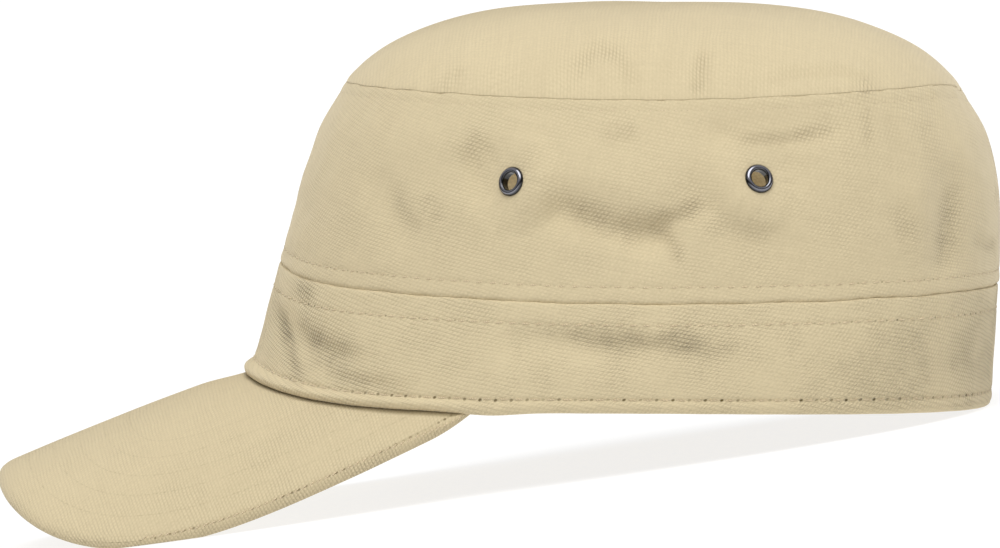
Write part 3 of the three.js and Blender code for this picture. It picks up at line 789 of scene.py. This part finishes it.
# The top panel, by share of the way from its apex to the seam.
crownTop = {"columns": 420, "thickness": 0.0015, "wave": 0.20, "waveLength": 30, "reach": 75.0}
topFolds = [
    # x and y of two ends on the panel, width and depth
    (42, -3, 54, 0, 5.0, 0.35),
    (30, -50, 44, -42, 5.0, -0.25),
    (-44, 14, -62, 10, 4.0, -0.45),
    (-40, -22, -58, -30, 5.0, -0.35),
    (-38, 52, -52, 44, 5.0, 0.3),
    (-8, 70, 4, 84, 4.5, -0.3),
    (6, -44, 10, -62, 5.0, -0.25),
]
# Distance from the seam, width, rise and the share of the puckers.
topRelief = [(1.3, 1.1, 0.12, 0.108), (0, 0.3, -0.15, 0), (4, 4, 0, 0.18)]
topSeamLength = lengthsAround(levelOf["topSeam"])[-1]


def topEdge(angle, share):
    return smoothWall(angle, np.full_like(share, levelOf["topSeam"]))


def domePoint(angle, share):
    edge = topEdge(angle, share)
    x, y = edge[..., 0] * share, lerp(dome["apexY"], edge[..., 1], share)
    fallen = lerp(share ** dome["power"], share ** dome["edgePower"], dome["edgeShare"])
    z = edge[..., 2] + (dome["apexZ"] - edge[..., 2]) * (1 - fallen)
    return np.stack([x, y, z], -1)


def facingUp(normal):
    return np.where(normal[..., 2:] < 0, -normal, normal)


def topSurface(turnShare, share):
    angle = turnAtShare(turnShare, levelOf["topSeam"])
    point = domePoint(angle, share)
    x, y, inside = point[..., 0].copy(), point[..., 1].copy(), 1 - share
    lift = topCrease["depth"] * swell(y - topCrease["y"], topCrease["width"])
    lift *= smoothstep(x, topCrease["fromX"], topCrease["fullX"]) * smoothstep(inside, 0, 0.1)
    lift += foldSum(topFolds, x, y) * smoothstep(inside, 0.01, 0.12)
    lift += crownTop["wave"] * ripples(x, y, crownTop["waveLength"], 23) * smoothstep(inside, 0.02, 0.15)
    creased = creasesAt(point)[0] * smoothstep(inside, 0.0, 0.05)
    point[..., 2] += lift
    edge = topEdge(angle, share)
    fromSeam = inside * np.hypot(edge[..., 0], edge[..., 1] - dome["apexY"])
    pucker = ripples(turnShare * topSeamLength, fromSeam * 0.2, 10, 29)
    pucker *= clearOfBack(turnShare, topSeamLength)
    outward = np.stack([x, y - dome["apexY"], 0 * x], -1)
    outward /= np.maximum(np.linalg.norm(outward, axis=-1, keepdims=True), 1e-6)
    normal = facingUp(normalAt(domePoint, angle, np.clip(share, 0.02, 0.985), 0.01, 0.01))
    point += normal * creased[..., None]
    point += (outward * 0.7 + normal * 0.3) * seamRelief(topRelief, fromSeam, pucker)[..., None]
    point[..., 2] += 0.05 * swell(fromSeam, 0.4) + seamWobble(angle, 73, fromSeam)
    return point


# Painted shade from the creases on the top panel, for the shade map.
def topShade(turnShare, share):
    return creasesAt(domePoint(turnAtShare(turnShare, levelOf["topSeam"]), share))[1]


# Distances from the seam in millimetres, as shares of the way from the middle to the edge.
def topShares():
    edge = [0, 0.2, 0.45, 0.75, 1.1, 1.5, 2.0, 2.6, 3.3, 4.1]
    middle = list(np.arange(5.1, crownTop["reach"] - 3, 1.25))
    return np.clip(1 - np.array(edge + middle + [crownTop["reach"]]) / crownTop["reach"], 0, 1)[::-1]


topMaterial = canvasMaterial("top canvas", weave=0.5, nubs=0.4, relief=0.35)
topRows = topShares()
topMesh = gridMesh(
    "crown top", crownTop["columns"], len(topRows) - 1,
    lambda s, t: topSurface(s, rowValue(t, topRows)),
    {
        "cloth": lambda s, t: tuple(topSurface(s, rowValue(t, topRows))[:, :2].T),
        "shade": lambda s, t: (topShade(s, rowValue(t, topRows)), 0 * s),
    },
)
topPiece = clothPiece("crown_top_cloth", [topMesh], topMaterial, lambda point: Vector((0, 0, 1)))
giveThickness(topPiece, crownTop["thickness"])
belongs(topPiece, "canvas", "crown_top")
print("crown top made", len(topPiece.data.polygons))


# The peak's board before it is settled on the band: bent round a radius that shrinks towards the tip.
def archRadius(along):
    return lerp(peak["heelRadius"], peak["tipRadius"], along / peak["length"])


def bentBoard(across, along):
    radius = archRadius(along)
    drop = radius * (1 - np.cos(across / radius))
    span = np.clip((along - peak["bowFrom"]) / (peak["length"] - peak["bowFrom"]), 0, 1)
    middle = np.cos((math.pi / 2) * (across / peak["halfWidth"])) ** 2
    bow = peak["bow"] * np.sin(math.pi * span) * middle
    c, s = math.cos(peak["slope"]), math.sin(peak["slope"])
    y = peak["heelY"] - along * c + drop * s
    z = peak["heelZ"] - along * s - drop * c + bow
    return np.stack([radius * np.sin(across / radius), y, z], -1)


# Where a point seen from above lies on the flat board.
def flattened(x, y):
    along = np.zeros_like(x)
    c, s = math.cos(peak["slope"]), math.sin(peak["slope"])
    for _ in range(12):
        radius = archRadius(along)
        drop = radius - np.sqrt(np.maximum(radius ** 2 - x ** 2, 0))
        along = (peak["heelY"] - y + drop * s) / c
    radius = archRadius(along)
    return radius * np.arcsin(np.clip(x / radius, -1, 1)), along


def boardHeight(point):
    across, along = flattened(point[..., 0], point[..., 1])
    return bentBoard(across, along)[..., 2]


# The band, by height over its bottom edge: outer face, a soft roll at the bottom, inner face. Its bottom
# drops a little where the ends of the peak tuck in.
band = {
    "height": 29.1, "columns": 480, "depth": 2.6, "roll": 1.3, "bottom": 0.9, "held": 0.8, "stitchDown": 5.7,
    "stitchPitch": 3.6, "hemStitchUp": 3.8, "hemPitch": 4.3, "wave": 0.08, "waveLength": 24, "ripple": 0.04,
    "rippleLength": 8, "backGroove": 0.4, "drop": 0.95, "dropAt": math.radians(65.5),
    "dropWidth": math.radians(6.5), "dropHeight": 4,
}
# Distance from the seam or the bottom edge, width, rise and the share of the puckers.
bandUpperRelief = [(1.6, 1.2, 0.08, 0.072), (band["stitchDown"], 0.6, -0.15, -0.09)]
bandLowerRelief = [(1.7, 1.2, 0.26, 0.104), (band["hemStitchUp"], 0.55, -0.32, -0.128), (6.5, 3, 0, 0.12)]
bandMiddle = levelAtSide(band["bottom"] + band["height"] / 2)
bandLength = lengthsAround(bandMiddle)[-1]
bandStitches = round(bandLength / band["stitchPitch"])
hemStitches = round(bandLength / band["hemPitch"])


def bandOuter(share, up):
    level = levelAtSide(band["bottom"] + up)
    angle = turnAtShare(share, bandMiddle)
    point = smoothWall(angle, level)
    normal = wallNormal(angle, level)
    u = share * bandLength
    down = band["height"] - up
    fromSeams = np.minimum(np.abs(level - levelOf["bottom"]), np.abs(level - levelOf["bandSeam"]))
    closed = clearOfBack(share, bandLength)
    softHeld = smoothstep(np.minimum(up - 3, down), 0.5, 6) * closed
    depth = foldDepth(point) * smoothstep(fromSeams, 0, band["held"])
    depth += creasesAt(point)[0] * softHeld
    depth += band["wave"] * ripples(u, up * 1.3, band["waveLength"], 41) * softHeld
    depth += band["ripple"] * ripples(u, up, band["rippleLength"], 43) * softHeld
    pucker = ripples(u, up * 0.2, 9, 47) * closed
    depth += seamTuck(down, width=0.35, depth=0.38, uneven=0.5 * closed, length=u, pitch=3.6, seed=19)
    depth += seamRelief(bandUpperRelief, down, pucker) + seamRelief(bandLowerRelief, up, pucker)
    depth -= band["backGroove"] * swell(np.minimum(u, bandLength - u), 0.45)
    placed = point + normal * depth[..., None]
    placed[..., 2] += seamWobble(angle, 71, down)
    return placed


def bandInner(share, up):
    level = levelAtSide(band["bottom"] + up)
    angle = turnAtShare(share, bandMiddle)
    inward = -wallNormal(angle, level)
    flatShare = swell(np.minimum(up, band["height"] - up), 1.5)[..., None]
    inward = inward * np.array([1, 1, 0]) * flatShare + inward * (1 - flatShare)
    inward /= np.linalg.norm(inward, axis=-1, keepdims=True)
    return smoothWall(angle, level) + inward * band["depth"]


def bandInnerBottom(angle):
    inward = -wallNormal(angle, 0.0) * np.array([1, 1, 0])
    inward /= np.linalg.norm(inward, axis=-1, keepdims=True)
    return smoothWall(angle, 0.0) + inward * band["depth"]


# How much higher the peak's board lies under the band's inner edge than under its outer edge.
def peakLift(angle):
    turned = np.abs(np.arctan2(np.sin(angle), np.cos(angle)))
    share = 1 - smoothstep(turned, peak["endAngle"], peak["endAngle"] + math.radians(10))
    lift = boardHeight(bandInnerBottom(angle)) - boardHeight(smoothWall(angle, 0.0))
    return share * np.where(share > 0, lift, 0)


def bandPoint(share, row):
    up, phase = rowValue(row, bandHeights), rowValue(row, bandPhases)
    roll = band["roll"]
    rollUp = np.full_like(share, roll)
    outer = bandOuter(share, np.where(phase == 0, up, rollUp))
    inner = bandInner(share, np.where(phase >= math.pi - 1e-6, up, rollUp))
    rolling = (phase > 0) & (phase < math.pi - 1e-6)
    rolled = (outer + inner) / 2 + (outer - inner) / 2 * np.cos(phase)[..., None]
    rolled[..., 2] -= roll * np.sin(phase)
    # Over the peak the inner edge rides on the board.
    angle = turnAtShare(share, bandMiddle)
    lift = peakLift(angle)
    inner[..., 2] += lift * swell(up, 2.5)
    rolled[..., 2] += lift * smoothstep(phase, 0.45 * math.pi, math.pi)
    drop = band["drop"] * swell(np.abs(angle) - band["dropAt"], band["dropWidth"])
    outer[..., 2] -= drop * swell(up, band["dropHeight"])
    rolled[..., 2] -= drop * swell(roll, band["dropHeight"])
    return np.where(rolling[..., None], rolled, np.where((phase == 0)[..., None], outer, inner))


# Painted shade, low on the band and towards its back.
rearPaintedShade = {"shade": 0.46, "fromY": 40, "fullY": 98, "topZ": 22, "rise": 14}


def bandShade(share, row):
    up = rowValue(row, bandHeights)
    point = smoothWall(turnAtShare(share, bandMiddle), levelAtSide(band["bottom"] + up))
    rear = smoothstep(point[..., 1], rearPaintedShade["fromY"], rearPaintedShade["fullY"])
    top = rearPaintedShade["topZ"] + rearPaintedShade["rise"] * rear
    rear = rear * smoothstep(top - point[..., 2], 0, 14) * rearPaintedShade["shade"]
    return (creasesAt(point)[1] + rear) * (rowValue(row, bandPhases) == 0)


# For each row of the band: its height, its turn round the roll, and its length along the cloth.
def bandRowTable():
    edge = [0.15, 0.35, 0.6, 0.9, 1.3, 1.8, 2.5, 3.3, 4.1, 4.7, 5.2, 5.7, 6.2, 6.8]
    low = [1.3, 1.6, 1.9, 2.3, 2.7, 3.1, 3.5, 3.8, 4.1, 4.4, 4.8, 5.3, 6.0]
    outer = [band["height"] - value for value in edge]
    outer += list(np.arange(outer[-1] - 0.9, low[-1] + 0.4, -0.95)) + low[::-1]
    inner = [1.3, 2.2, 3.6, 6, 9, 12, 15, 18, 21, 24, 26.5, 28, band["height"] - 0.15]
    phases = list(np.linspace(0, math.pi, 11)[1:-1])
    heights = outer + [band["roll"]] * len(phases) + inner + [band["height"] - 0.15]
    turns = [0.0] * len(outer) + phases + [math.pi] * len(inner) + [0.0]
    lengths = outer + [band["roll"] * (1 - phase) for phase in phases]
    lengths += [band["roll"] * (1 - math.pi) - (value - 1.3) for value in inner]
    lengths += [lengths[-1] - band["depth"]]
    return np.array(heights), np.array(turns), np.array(lengths)


bandHeights, bandPhases, bandLengths = bandRowTable()
bandMaterial = canvasMaterial(
    "band canvas",
    stitchRows=[
        {"height": band["height"] - band["stitchDown"], "pitch": bandLength / bandStitches,
         "holeLength": 0.45, "holeHeight": 0.3, "faintest": 0.05, "darkest": 0.85,
         "calm": (0.745 * bandLength, 40, 80)},
        {"height": band["hemStitchUp"], "pitch": bandLength / hemStitches, "holeLength": 0.60,
         "holeHeight": 0.46, "faintest": 0.30, "darkest": 1.05, "calm": (bandLength / 2, 60, 90)},
    ],
    weave=1.1, tilt=9, even=0.93,
)
bandMesh = gridMesh(
    "band", band["columns"], len(bandHeights) - 1, bandPoint,
    {
        "cloth": lambda s, t: (s * bandLength, rowValue(t, bandLengths)),
        "shade": lambda s, t: (bandShade(s, t), 0 * s),
    },
)
bandPiece = clothPiece("band_cloth", [bandMesh], bandMaterial)
belongs(bandPiece, "canvas", "band")
print("band made", len(bandPiece.data.polygons))


# The peak: upper face and rim in one grid, under face in another.
peakCloth = {
    "columns": 300, "thickness": 2.6, "endThin": 0.3, "upperRows": 65, "underRows": 33, "squeezeUnder": 12,
    "wave": 0.10, "waveLength": 28, "rimStitchIn": 2.3, "rimStitchPitch": 2.2, "rimStitchDepth": 0.20,
    "tipFrom": 70, "tipTo": 108, "tipShift": 3.4, "rowsAt": [9.5, 16.8, 24.1, 31.4, 38.7],
}
# Painted shade on the peak: along the rim, on its sides, and a painted shadow where the band rides on it.
peakPaintedShade = {"rim": 0.20, "sides": 0.14, "contact": 0.66, "contactReach": 0.85, "contactWiden": 0.45}
# Distance in from the rim and depth below the upper face, round the edge of the peak: along its sides, where
# it has a stitched groove, and at its tip.
rimSection = [
    (8.0, 0.0, 0.0), (6.5, 0.0, 0.0), (5.2, 0.0, 0.0), (4.4, 0.0, 0.02), (3.8, 0.02, 0.05),
    (3.3, 0.06, 0.10), (2.9, 0.16, 0.16), (2.6, 0.27, 0.21), (2.35, 0.30, 0.26), (2.1, 0.25, 0.32),
    (1.8, 0.24, 0.41), (1.4, 0.34, 0.54), (1.0, 0.54, 0.72), (0.65, 0.80, 0.95), (0.35, 1.1, 1.22),
    (0.14, 1.45, 1.50), (0.02, 1.8, 1.8), (0.1, 2.1, 2.1), (0.3, 2.32, 2.32), (0.6, 2.48, 2.48),
    (1.0, 2.56, 2.56), (1.6, 2.6, 2.6),
]


def rimPoint(turn):
    angle = turn * peak["rimSweep"]
    reach = np.where(np.cos(angle) > 0, peak["toTip"], peak["toHeel"])
    radius = superellipse(np.sin(angle) / peak["halfWidth"], np.cos(angle) / reach, peak["power"])
    return np.stack([radius * np.sin(angle), peak["widestAlong"] + radius * np.cos(angle)], -1)


rimTurns = np.linspace(-1, 1, 700)
rimLine = rimPoint(rimTurns)
rimLengths = np.concatenate([[0], np.cumsum(np.linalg.norm(np.diff(rimLine, axis=0), axis=-1))])
rimMiddle = rimLengths[-1] / 2


# 1 at the tip of the peak, 0 along its sides.
def byTip(turn):
    fromTip = np.abs(np.interp(turn, rimTurns, rimLengths) - rimMiddle)
    return 1 - smoothstep(fromTip, peakCloth["tipFrom"], peakCloth["tipTo"])


def rimInward(turn):
    tangent = rimPoint(turn + 0.002) - rimPoint(turn - 0.002)
    inward = np.stack([-tangent[..., 1], tangent[..., 0]], -1)
    inward /= np.linalg.norm(inward, axis=-1, keepdims=True)
    towards = np.sum(inward * (np.array([0, peak["widestAlong"]]) - rimPoint(turn)), -1, keepdims=True)
    return np.where(towards < 0, -inward, inward)


# The board's edge under the band.
def peakRoot(turn):
    inner = bandInnerBottom(turn * peak["endAngle"])
    across, along = flattened(inner[..., 0], inner[..., 1])
    return np.stack([across, along], -1)


# How far a point lies outside the band's bottom edge, and the point of that edge next to it.
def outsideBand(point):
    widestY = sections["widestY"][0]
    angle = np.arctan2(point[..., 0], widestY - point[..., 1])
    edge = smoothWall(angle, np.zeros_like(angle))
    reach = np.hypot(edge[..., 0], edge[..., 1] - widestY)
    return np.hypot(point[..., 0], point[..., 1] - widestY) - reach, edge


# The bent board, settled so that the band rides on it.
def peakSurface(across, along):
    point = bentBoard(across, along)
    outside, edge = outsideBand(point)
    settled = 1 - smoothstep(outside, 0, peak["settle"])
    point[..., 2] += (edge[..., 2] - seamGap - boardHeight(edge)) * settled
    return point


def peakFlat(s, share, inset):
    turn = 1 - 2 * s
    root, rim, inward = peakRoot(turn), rimPoint(turn), rimInward(turn)
    room = np.sum((root - rim) * inward, -1)
    squeeze = np.clip(room / peakCloth["squeezeUnder"], 0.04, 1)
    edge = rim + inward * (inset * squeeze)[..., None]
    start = rim + inward * (rimSection[0][0] * squeeze)[..., None]
    return np.where((share < 1)[..., None], lerp(root, start, share[..., None]), edge)


def peakPlaced(s, share, inset, depth):
    depth = depth * lerp(1, peakCloth["endThin"], smoothstep(np.abs(1 - 2 * s), 0.90, 1.0))
    flat = peakFlat(s, share, inset)
    across, along = flat[..., 0], flat[..., 1]
    normal = facingUp(normalAt(peakSurface, across, along, 0.5, 0.5))
    wave = peakCloth["wave"] * ripples(across, along, peakCloth["waveLength"], 53)
    wave *= smoothstep(share, 0.3, 0.6) * smoothstep(inset, 0.5, 6)
    return peakSurface(across, along) + normal * (wave * (depth < 1) - depth)[..., None]


# For each row of both grids: its share of the way to the rim, then its distance in from it, and its depth.
upperRows, underRows = peakCloth["upperRows"], peakCloth["underRows"]
rimInsets, sideDepths, tipDepths = [np.array(values) for values in zip(*rimSection)]
upperShares = np.concatenate([np.linspace(0, 1, upperRows + 1)[:-1], np.ones(len(rimSection))])
upperInsets = np.concatenate([np.full(upperRows, rimInsets[0]), rimInsets])
upperDepths = np.concatenate([np.zeros(upperRows), sideDepths])
upperTipDepths = np.concatenate([np.zeros(upperRows), tipDepths])
underShares = np.concatenate([np.ones(3), np.linspace(1, 0, underRows + 1)[1:], [0.0]])
underInsets = np.concatenate([[1.6, 3.0, 5.0], np.full(underRows + 1, rimInsets[0])])
underDepths = np.concatenate([np.full(underRows + 3, peakCloth["thickness"]), [0.0]])


def upperPlace(s, t):
    depth = lerp(rowValue(t, upperDepths), rowValue(t, upperTipDepths), byTip(1 - 2 * s))
    return peakPlaced(s, rowValue(t, upperShares), rowValue(t, upperInsets), depth)


def underPlace(s, t):
    return peakPlaced(s, rowValue(t, underShares), rowValue(t, underInsets), rowValue(t, underDepths))


# Flat board coordinates. Past the rim the cloth goes on outward, so the weave isn't smeared there.
def upperCloth(s, t):
    share = rowValue(t, upperShares)
    past = rimInward(1 - 2 * s) * (rowValue(t, upperDepths) * (share >= 1))[..., None]
    flat = peakFlat(s, share, rowValue(t, upperInsets)) - past
    return flat[..., 0], flat[..., 1]


def underCloth(s, t):
    flat = peakFlat(s, rowValue(t, underShares), rowValue(t, underInsets))
    return flat[..., 0] + 300, flat[..., 1]


# Length along the rim and distance in from it, a few thousand points at a time.
def byRim(flat):
    along, away = np.empty(len(flat)), np.empty(len(flat))
    for start in range(0, len(flat), 4000):
        some = slice(start, start + 4000)
        gaps = np.hypot(flat[some, None, 0] - rimLine[None, :, 0], flat[some, None, 1] - rimLine[None, :, 1])
        along[some] = rimLengths[gaps.argmin(1)]
        away[some] = gaps.min(1)
    return along, away


# At the tip the stitched row runs down the edge, so the edge map is shifted there.
def upperEdge(s, t):
    share, depth = rowValue(t, upperShares), rowValue(t, upperDepths)
    along, away = byRim(peakFlat(s, share, rowValue(t, upperInsets)))
    up = np.where((depth > 0.4) & (share >= 1), -depth, away)
    return along, up + peakCloth["tipShift"] * byTip(1 - 2 * s) * (1 - smoothstep(up, 3, 7))


# Painted shade: darkest right where the band rides on it, and on the rim's downturned edge and the sides,
# which face away from the light.
def paintedPeakShadeMap(s, t):
    share, inset, toSide = rowValue(t, upperShares), rowValue(t, upperInsets), np.abs(1 - 2 * s)
    flat = peakFlat(s, share, inset)
    outside, _ = outsideBand(bentBoard(flat[..., 0], flat[..., 1]))
    reach = peakPaintedShade["contactReach"] + peakPaintedShade["contactWiden"] * smoothstep(toSide, 0.5, 0.8)
    contact = peakPaintedShade["contact"] * (1 - smoothstep(outside / reach, 0.15, 1.0)) * (share < 1)
    rim = peakPaintedShade["rim"] * (1 - smoothstep(inset, 1.9, 2.7)) * (share >= 1)
    return rim + peakPaintedShade["sides"] * smoothstep(toSide, 0.25, 0.6), contact


# Faint rows that follow the rim, and the stitched groove just inside it.
rimRows = [
    {"height": height, "pitch": 3.4, "holeLength": 1.3, "holeHeight": 0.22, "faintest": 0.02, "darkest": 0.22}
    for height in peakCloth["rowsAt"]
]
rimRows.append({
    "height": peakCloth["rimStitchIn"], "pitch": peakCloth["rimStitchPitch"], "holeLength": 0.6,
    "holeHeight": 0.5, "faintest": 0.10, "darkest": 0.8, "calm": (rimMiddle, 60, 90),
})
# The grooves darken as painted shade, and the wide one over the rim's rounded edge is painted shade of that
# edge.
rimGrooves = [{"height": height, "width": 0.5, "strength": 0.035} for height in peakCloth["rowsAt"]]
rimGrooves += [
    {"height": 0.4, "width": 2.6, "strength": 0.08},
    {"height": 2.35, "width": 0.6, "strength": 0.14, "calm": (rimMiddle, 60, 90)},
]
peakMaterial = canvasMaterial(
    "peak canvas", stitchMap="edge", stitchRows=rimRows, grooves=rimGrooves, weave=0.66, tilt=3.5, nubs=0.58,
    even=0.785,
)
upperMesh = gridMesh(
    "peak upper", peakCloth["columns"], len(upperShares) - 1, upperPlace,
    {"cloth": upperCloth, "edge": upperEdge, "shade": paintedPeakShadeMap},
)
underMesh = gridMesh(
    "peak under", peakCloth["columns"], len(underShares) - 1, underPlace,
    {"cloth": underCloth, "edge": lambda s, t: (0 * s, 0 * s + 60), "shade": lambda s, t: (0 * s, 0 * s)},
)
peakPiece = clothPiece("peak_cloth", [upperMesh, underMesh], peakMaterial, closeEnds=True)
belongs(peakPiece, "canvas", "peak")
print("peak made", len(peakPiece.data.polygons))


# Eyelets, each spun from its outline: a rolled flange outside, a barrel through the cloth, a flange inside.
nickel = nickelMaterial()
eyeletOutline = [
    # radius and height over the cloth in millimetres
    (2.58, -1.60), (2.52, -0.60), (2.34, 0.30), (2.36, 0.62), (2.56, 0.88), (2.88, 1.00), (3.25, 0.97),
    (3.60, 0.78), (3.86, 0.46), (4.00, 0.12), (3.94, -0.04), (3.60, -0.06), (2.72, -0.10), (2.66, -0.60),
    (2.66, -1.62), (2.80, -1.74), (3.55, -1.78), (3.70, -1.94), (3.52, -2.14), (2.85, -2.16), (2.62, -2.02),
]


def makeEyelet(name, seat):
    centre, outward = seat
    bm = bmesh.new()
    ring = [bm.verts.new((radius / 1000, 0, height / 1000)) for radius, height in eyeletOutline]
    edges = [bm.edges.new((ring[index - 1], ring[index])) for index in range(len(ring))]
    bmesh.ops.spin(
        bm, geom=ring + edges, cent=(0, 0, 0), axis=(0, 0, 1), angle=2 * math.pi, steps=40, use_merge=True
    )
    bmesh.ops.recalc_face_normals(bm, faces=bm.faces)
    radii = [1000 * vert.co.xy.length for vert in bm.verts]
    turn = Vector(directionToWorld(outward)).to_track_quat("Z", "Y").to_matrix().to_4x4()
    bmesh.ops.transform(bm, matrix=Matrix.Translation(Vector(toWorld(centre))) @ turn, verts=bm.verts)
    piece = smoothPiece(name, bm, nickel)
    piece.data.attributes.new("radius", "FLOAT", "POINT").data.foreach_set("value", radii)
    rounder = piece.modifiers.new("rounder", "SUBSURF")
    rounder.levels = rounder.render_levels = 1
    return piece


for seatName, seat in seats.items():
    belongs(makeEyelet(f"eyelet_{seatName}_ring", seat), "eyelet_metal", f"eyelet_{seatName}")
print("eyelets made")


# Stitches: each is a short bent capsule of thread that dips into the cloth at both ends.
thread = threadMaterial()
stitchShape = {"segments": 6, "rings": 6, "sink": 0.16}


def sewRow(name, points, normals, directions, length, width, slant):
    source = np.random.default_rng(len(points))
    bm = bmesh.new()
    for point, normal, direction in zip(points, normals, directions):
        up = Vector(normal).normalized()
        along = Vector(direction).normalized()
        across = up.cross(along).normalized()
        up = along.cross(across)
        turn = Matrix((along, across, up)).transposed().to_4x4()
        turn = turn @ Matrix.Rotation(math.radians(slant + source.uniform(-5, 5)), 4, "Z")
        made = bmesh.ops.create_uvsphere(
            bm, u_segments=stitchShape["segments"], v_segments=stitchShape["rings"], radius=0.5,
            matrix=Matrix.Rotation(math.pi / 2, 4, "Y"),
        )
        for vert in made["verts"]:
            x = vert.co.x * 2
            vert.co.x *= length / 1000
            vert.co.y *= width / 1000
            vert.co.z = vert.co.z * width / 1000 - stitchShape["sink"] * x * x / 1000
        bmesh.ops.transform(bm, matrix=Matrix.Translation(Vector(point)) @ turn, verts=made["verts"])
    belongs(smoothPiece(name, bm, thread), "canvas")


def rowAround(surface, up, count, lift):
    shares = np.arange(count) / count
    height = np.full(count, up)
    normals = normalAt(surface, shares, height, 0.002, 0.4)
    ahead = surface(shares + 0.001, height) - surface(shares - 0.001, height)
    points = surface(shares, height) + normals * lift
    return toWorld(points), directionToWorld(normals), directionToWorld(ahead)


def rimRow(inset, depth, pitch):
    count = int(rimLengths[-1] / pitch)
    turns = np.interp((np.arange(count) + 0.5) * rimLengths[-1] / count, rimLengths, rimTurns)
    turns = turns[(np.abs(turns) < 0.97) & (byTip(turns) < 0.3)]
    s, ones = (1 - turns) / 2, np.ones_like(turns)

    def placed(shift):
        return peakPlaced(s + shift, ones, inset * ones, depth * ones)

    flat = peakFlat(s, ones, inset * ones)
    normals = facingUp(normalAt(peakSurface, flat[..., 0], flat[..., 1], 0.5, 0.5))
    return toWorld(placed(0)), directionToWorld(normals), directionToWorld(placed(0.002) - placed(-0.002))


# Rows round the cap: the surface, the height there, how many stitches, how far they stand off the cloth, and
# a stitch's length, width and slant.
roundRows = {
    "crown_lower_stitches": (crownSurface, crownWall["stitchUp"], wallStitches, 0.03, 2.5, 0.36, 5),
    "crown_upper_stitches": (
        crownSurface, crownWall["height"] - crownWall["topStitchDown"], wallStitches, -0.04, 2.3, 0.26, 0,
    ),
    "band_upper_stitches": (bandOuter, band["height"] - band["stitchDown"], bandStitches, 0.07, 2.5, 0.42, 6),
    "band_hem_stitches": (bandOuter, band["hemStitchUp"], hemStitches, 0.08, 3.0, 0.42, 0),
}
for rowName, (surface, up, count, lift, length, width, slant) in roundRows.items():
    sewRow(rowName, *rowAround(surface, up, count, lift), length, width, slant)
rimStitches = rimRow(peakCloth["rimStitchIn"], peakCloth["rimStitchDepth"], peakCloth["rimStitchPitch"])
sewRow("peak_rim_stitches", *rimStitches, length=2.1, width=0.46, slant=32)
print("stitches made")


# Floor, light and camera. The world is dim like walls low down and white higher up, where 1 is overhead.
studio = {
    "world": 0.62, "wallShade": 0.12, "wallTop": 0.32, "skyFrom": 0.50, "sun": 2.2, "sunAngle": 50,
    "sunFrom": (0.48, 0.09, 0.87), "floorSize": 60, "floorColour": (0.25, 0.25, 0.25, 1), "floorGlow": 0.80,
}


def floorMaterial():
    material = bpy.data.materials.new("floor white")
    material.use_nodes = True
    shader = material.node_tree.nodes["Principled BSDF"]
    shader.inputs["Base Color"].default_value = studio["floorColour"]
    shader.inputs["Roughness"].default_value = 0.9
    shader.inputs["Specular IOR Level"].default_value = 0.0
    shader.inputs["Emission Color"].default_value = (1, 1, 1, 1)
    shader.inputs["Emission Strength"].default_value = studio["floorGlow"]
    return material


bm = bmesh.new()
bmesh.ops.create_grid(bm, x_segments=2, y_segments=2, size=studio["floorSize"])
bmesh.ops.translate(bm, vec=(0, 0, -0.0002), verts=bm.verts)
floor = smoothPiece("floor", bm, floorMaterial())

scene = bpy.context.scene
world = bpy.data.worlds.new("studio")
scene.world = world
world.use_nodes = True
tree = world.node_tree
tree.nodes.clear()
direction = addNode(tree, "ShaderNodeTexCoord").outputs["Generated"]
height = addNode(tree, "ShaderNodeSeparateXYZ", Vector=direction).outputs[2]
onWall = ranged(tree, height, studio["wallTop"], studio["skyFrom"], 1.0, 0.0, True)
skyColour = mixColour(tree, onWall, (1, 1, 1, 1), (studio["wallShade"],) * 3 + (1,))
background = addNode(tree, "ShaderNodeBackground", Color=skyColour, Strength=studio["world"])
output = addNode(tree, "ShaderNodeOutputWorld")
tree.links.new(background.outputs[0], output.inputs[0])

sunData = bpy.data.lights.new("soft sun", "SUN")
sunData.energy = studio["sun"]
sunData.angle = math.radians(studio["sunAngle"])
sun = bpy.data.objects.new("soft sun", sunData)
sun.rotation_euler = Vector(studio["sunFrom"]).to_track_quat("Z", "Y").to_euler()
bpy.context.collection.objects.link(sun)

yaw, elevation = math.radians(camera["yaw"]), math.radians(camera["elevation"])
level = math.cos(elevation)
back = np.array([level * math.cos(yaw), level * math.sin(yaw), math.sin(elevation)])
right = np.array([-math.sin(yaw), math.cos(yaw), 0])
above = np.cross(back, right)
eye = np.array(camera["target"]) + camera["distance"] * back
axes = Matrix([Vector(directionToWorld(axis)) for axis in (right, above, back)]).transposed()
cameraData = bpy.data.cameras.new("camera")
cameraData.lens = camera["lens"]
cameraData.sensor_width = 36
cameraData.clip_start = 0.1
cameraData.clip_end = 300
cameraObject = bpy.data.objects.new("camera", cameraData)
cameraObject.matrix_world = Matrix.Translation(Vector(toWorld(eye))) @ axes.to_4x4()
bpy.context.collection.objects.link(cameraObject)
scene.camera = cameraObject
scene.view_settings.view_transform = "Standard"
print("stage made")
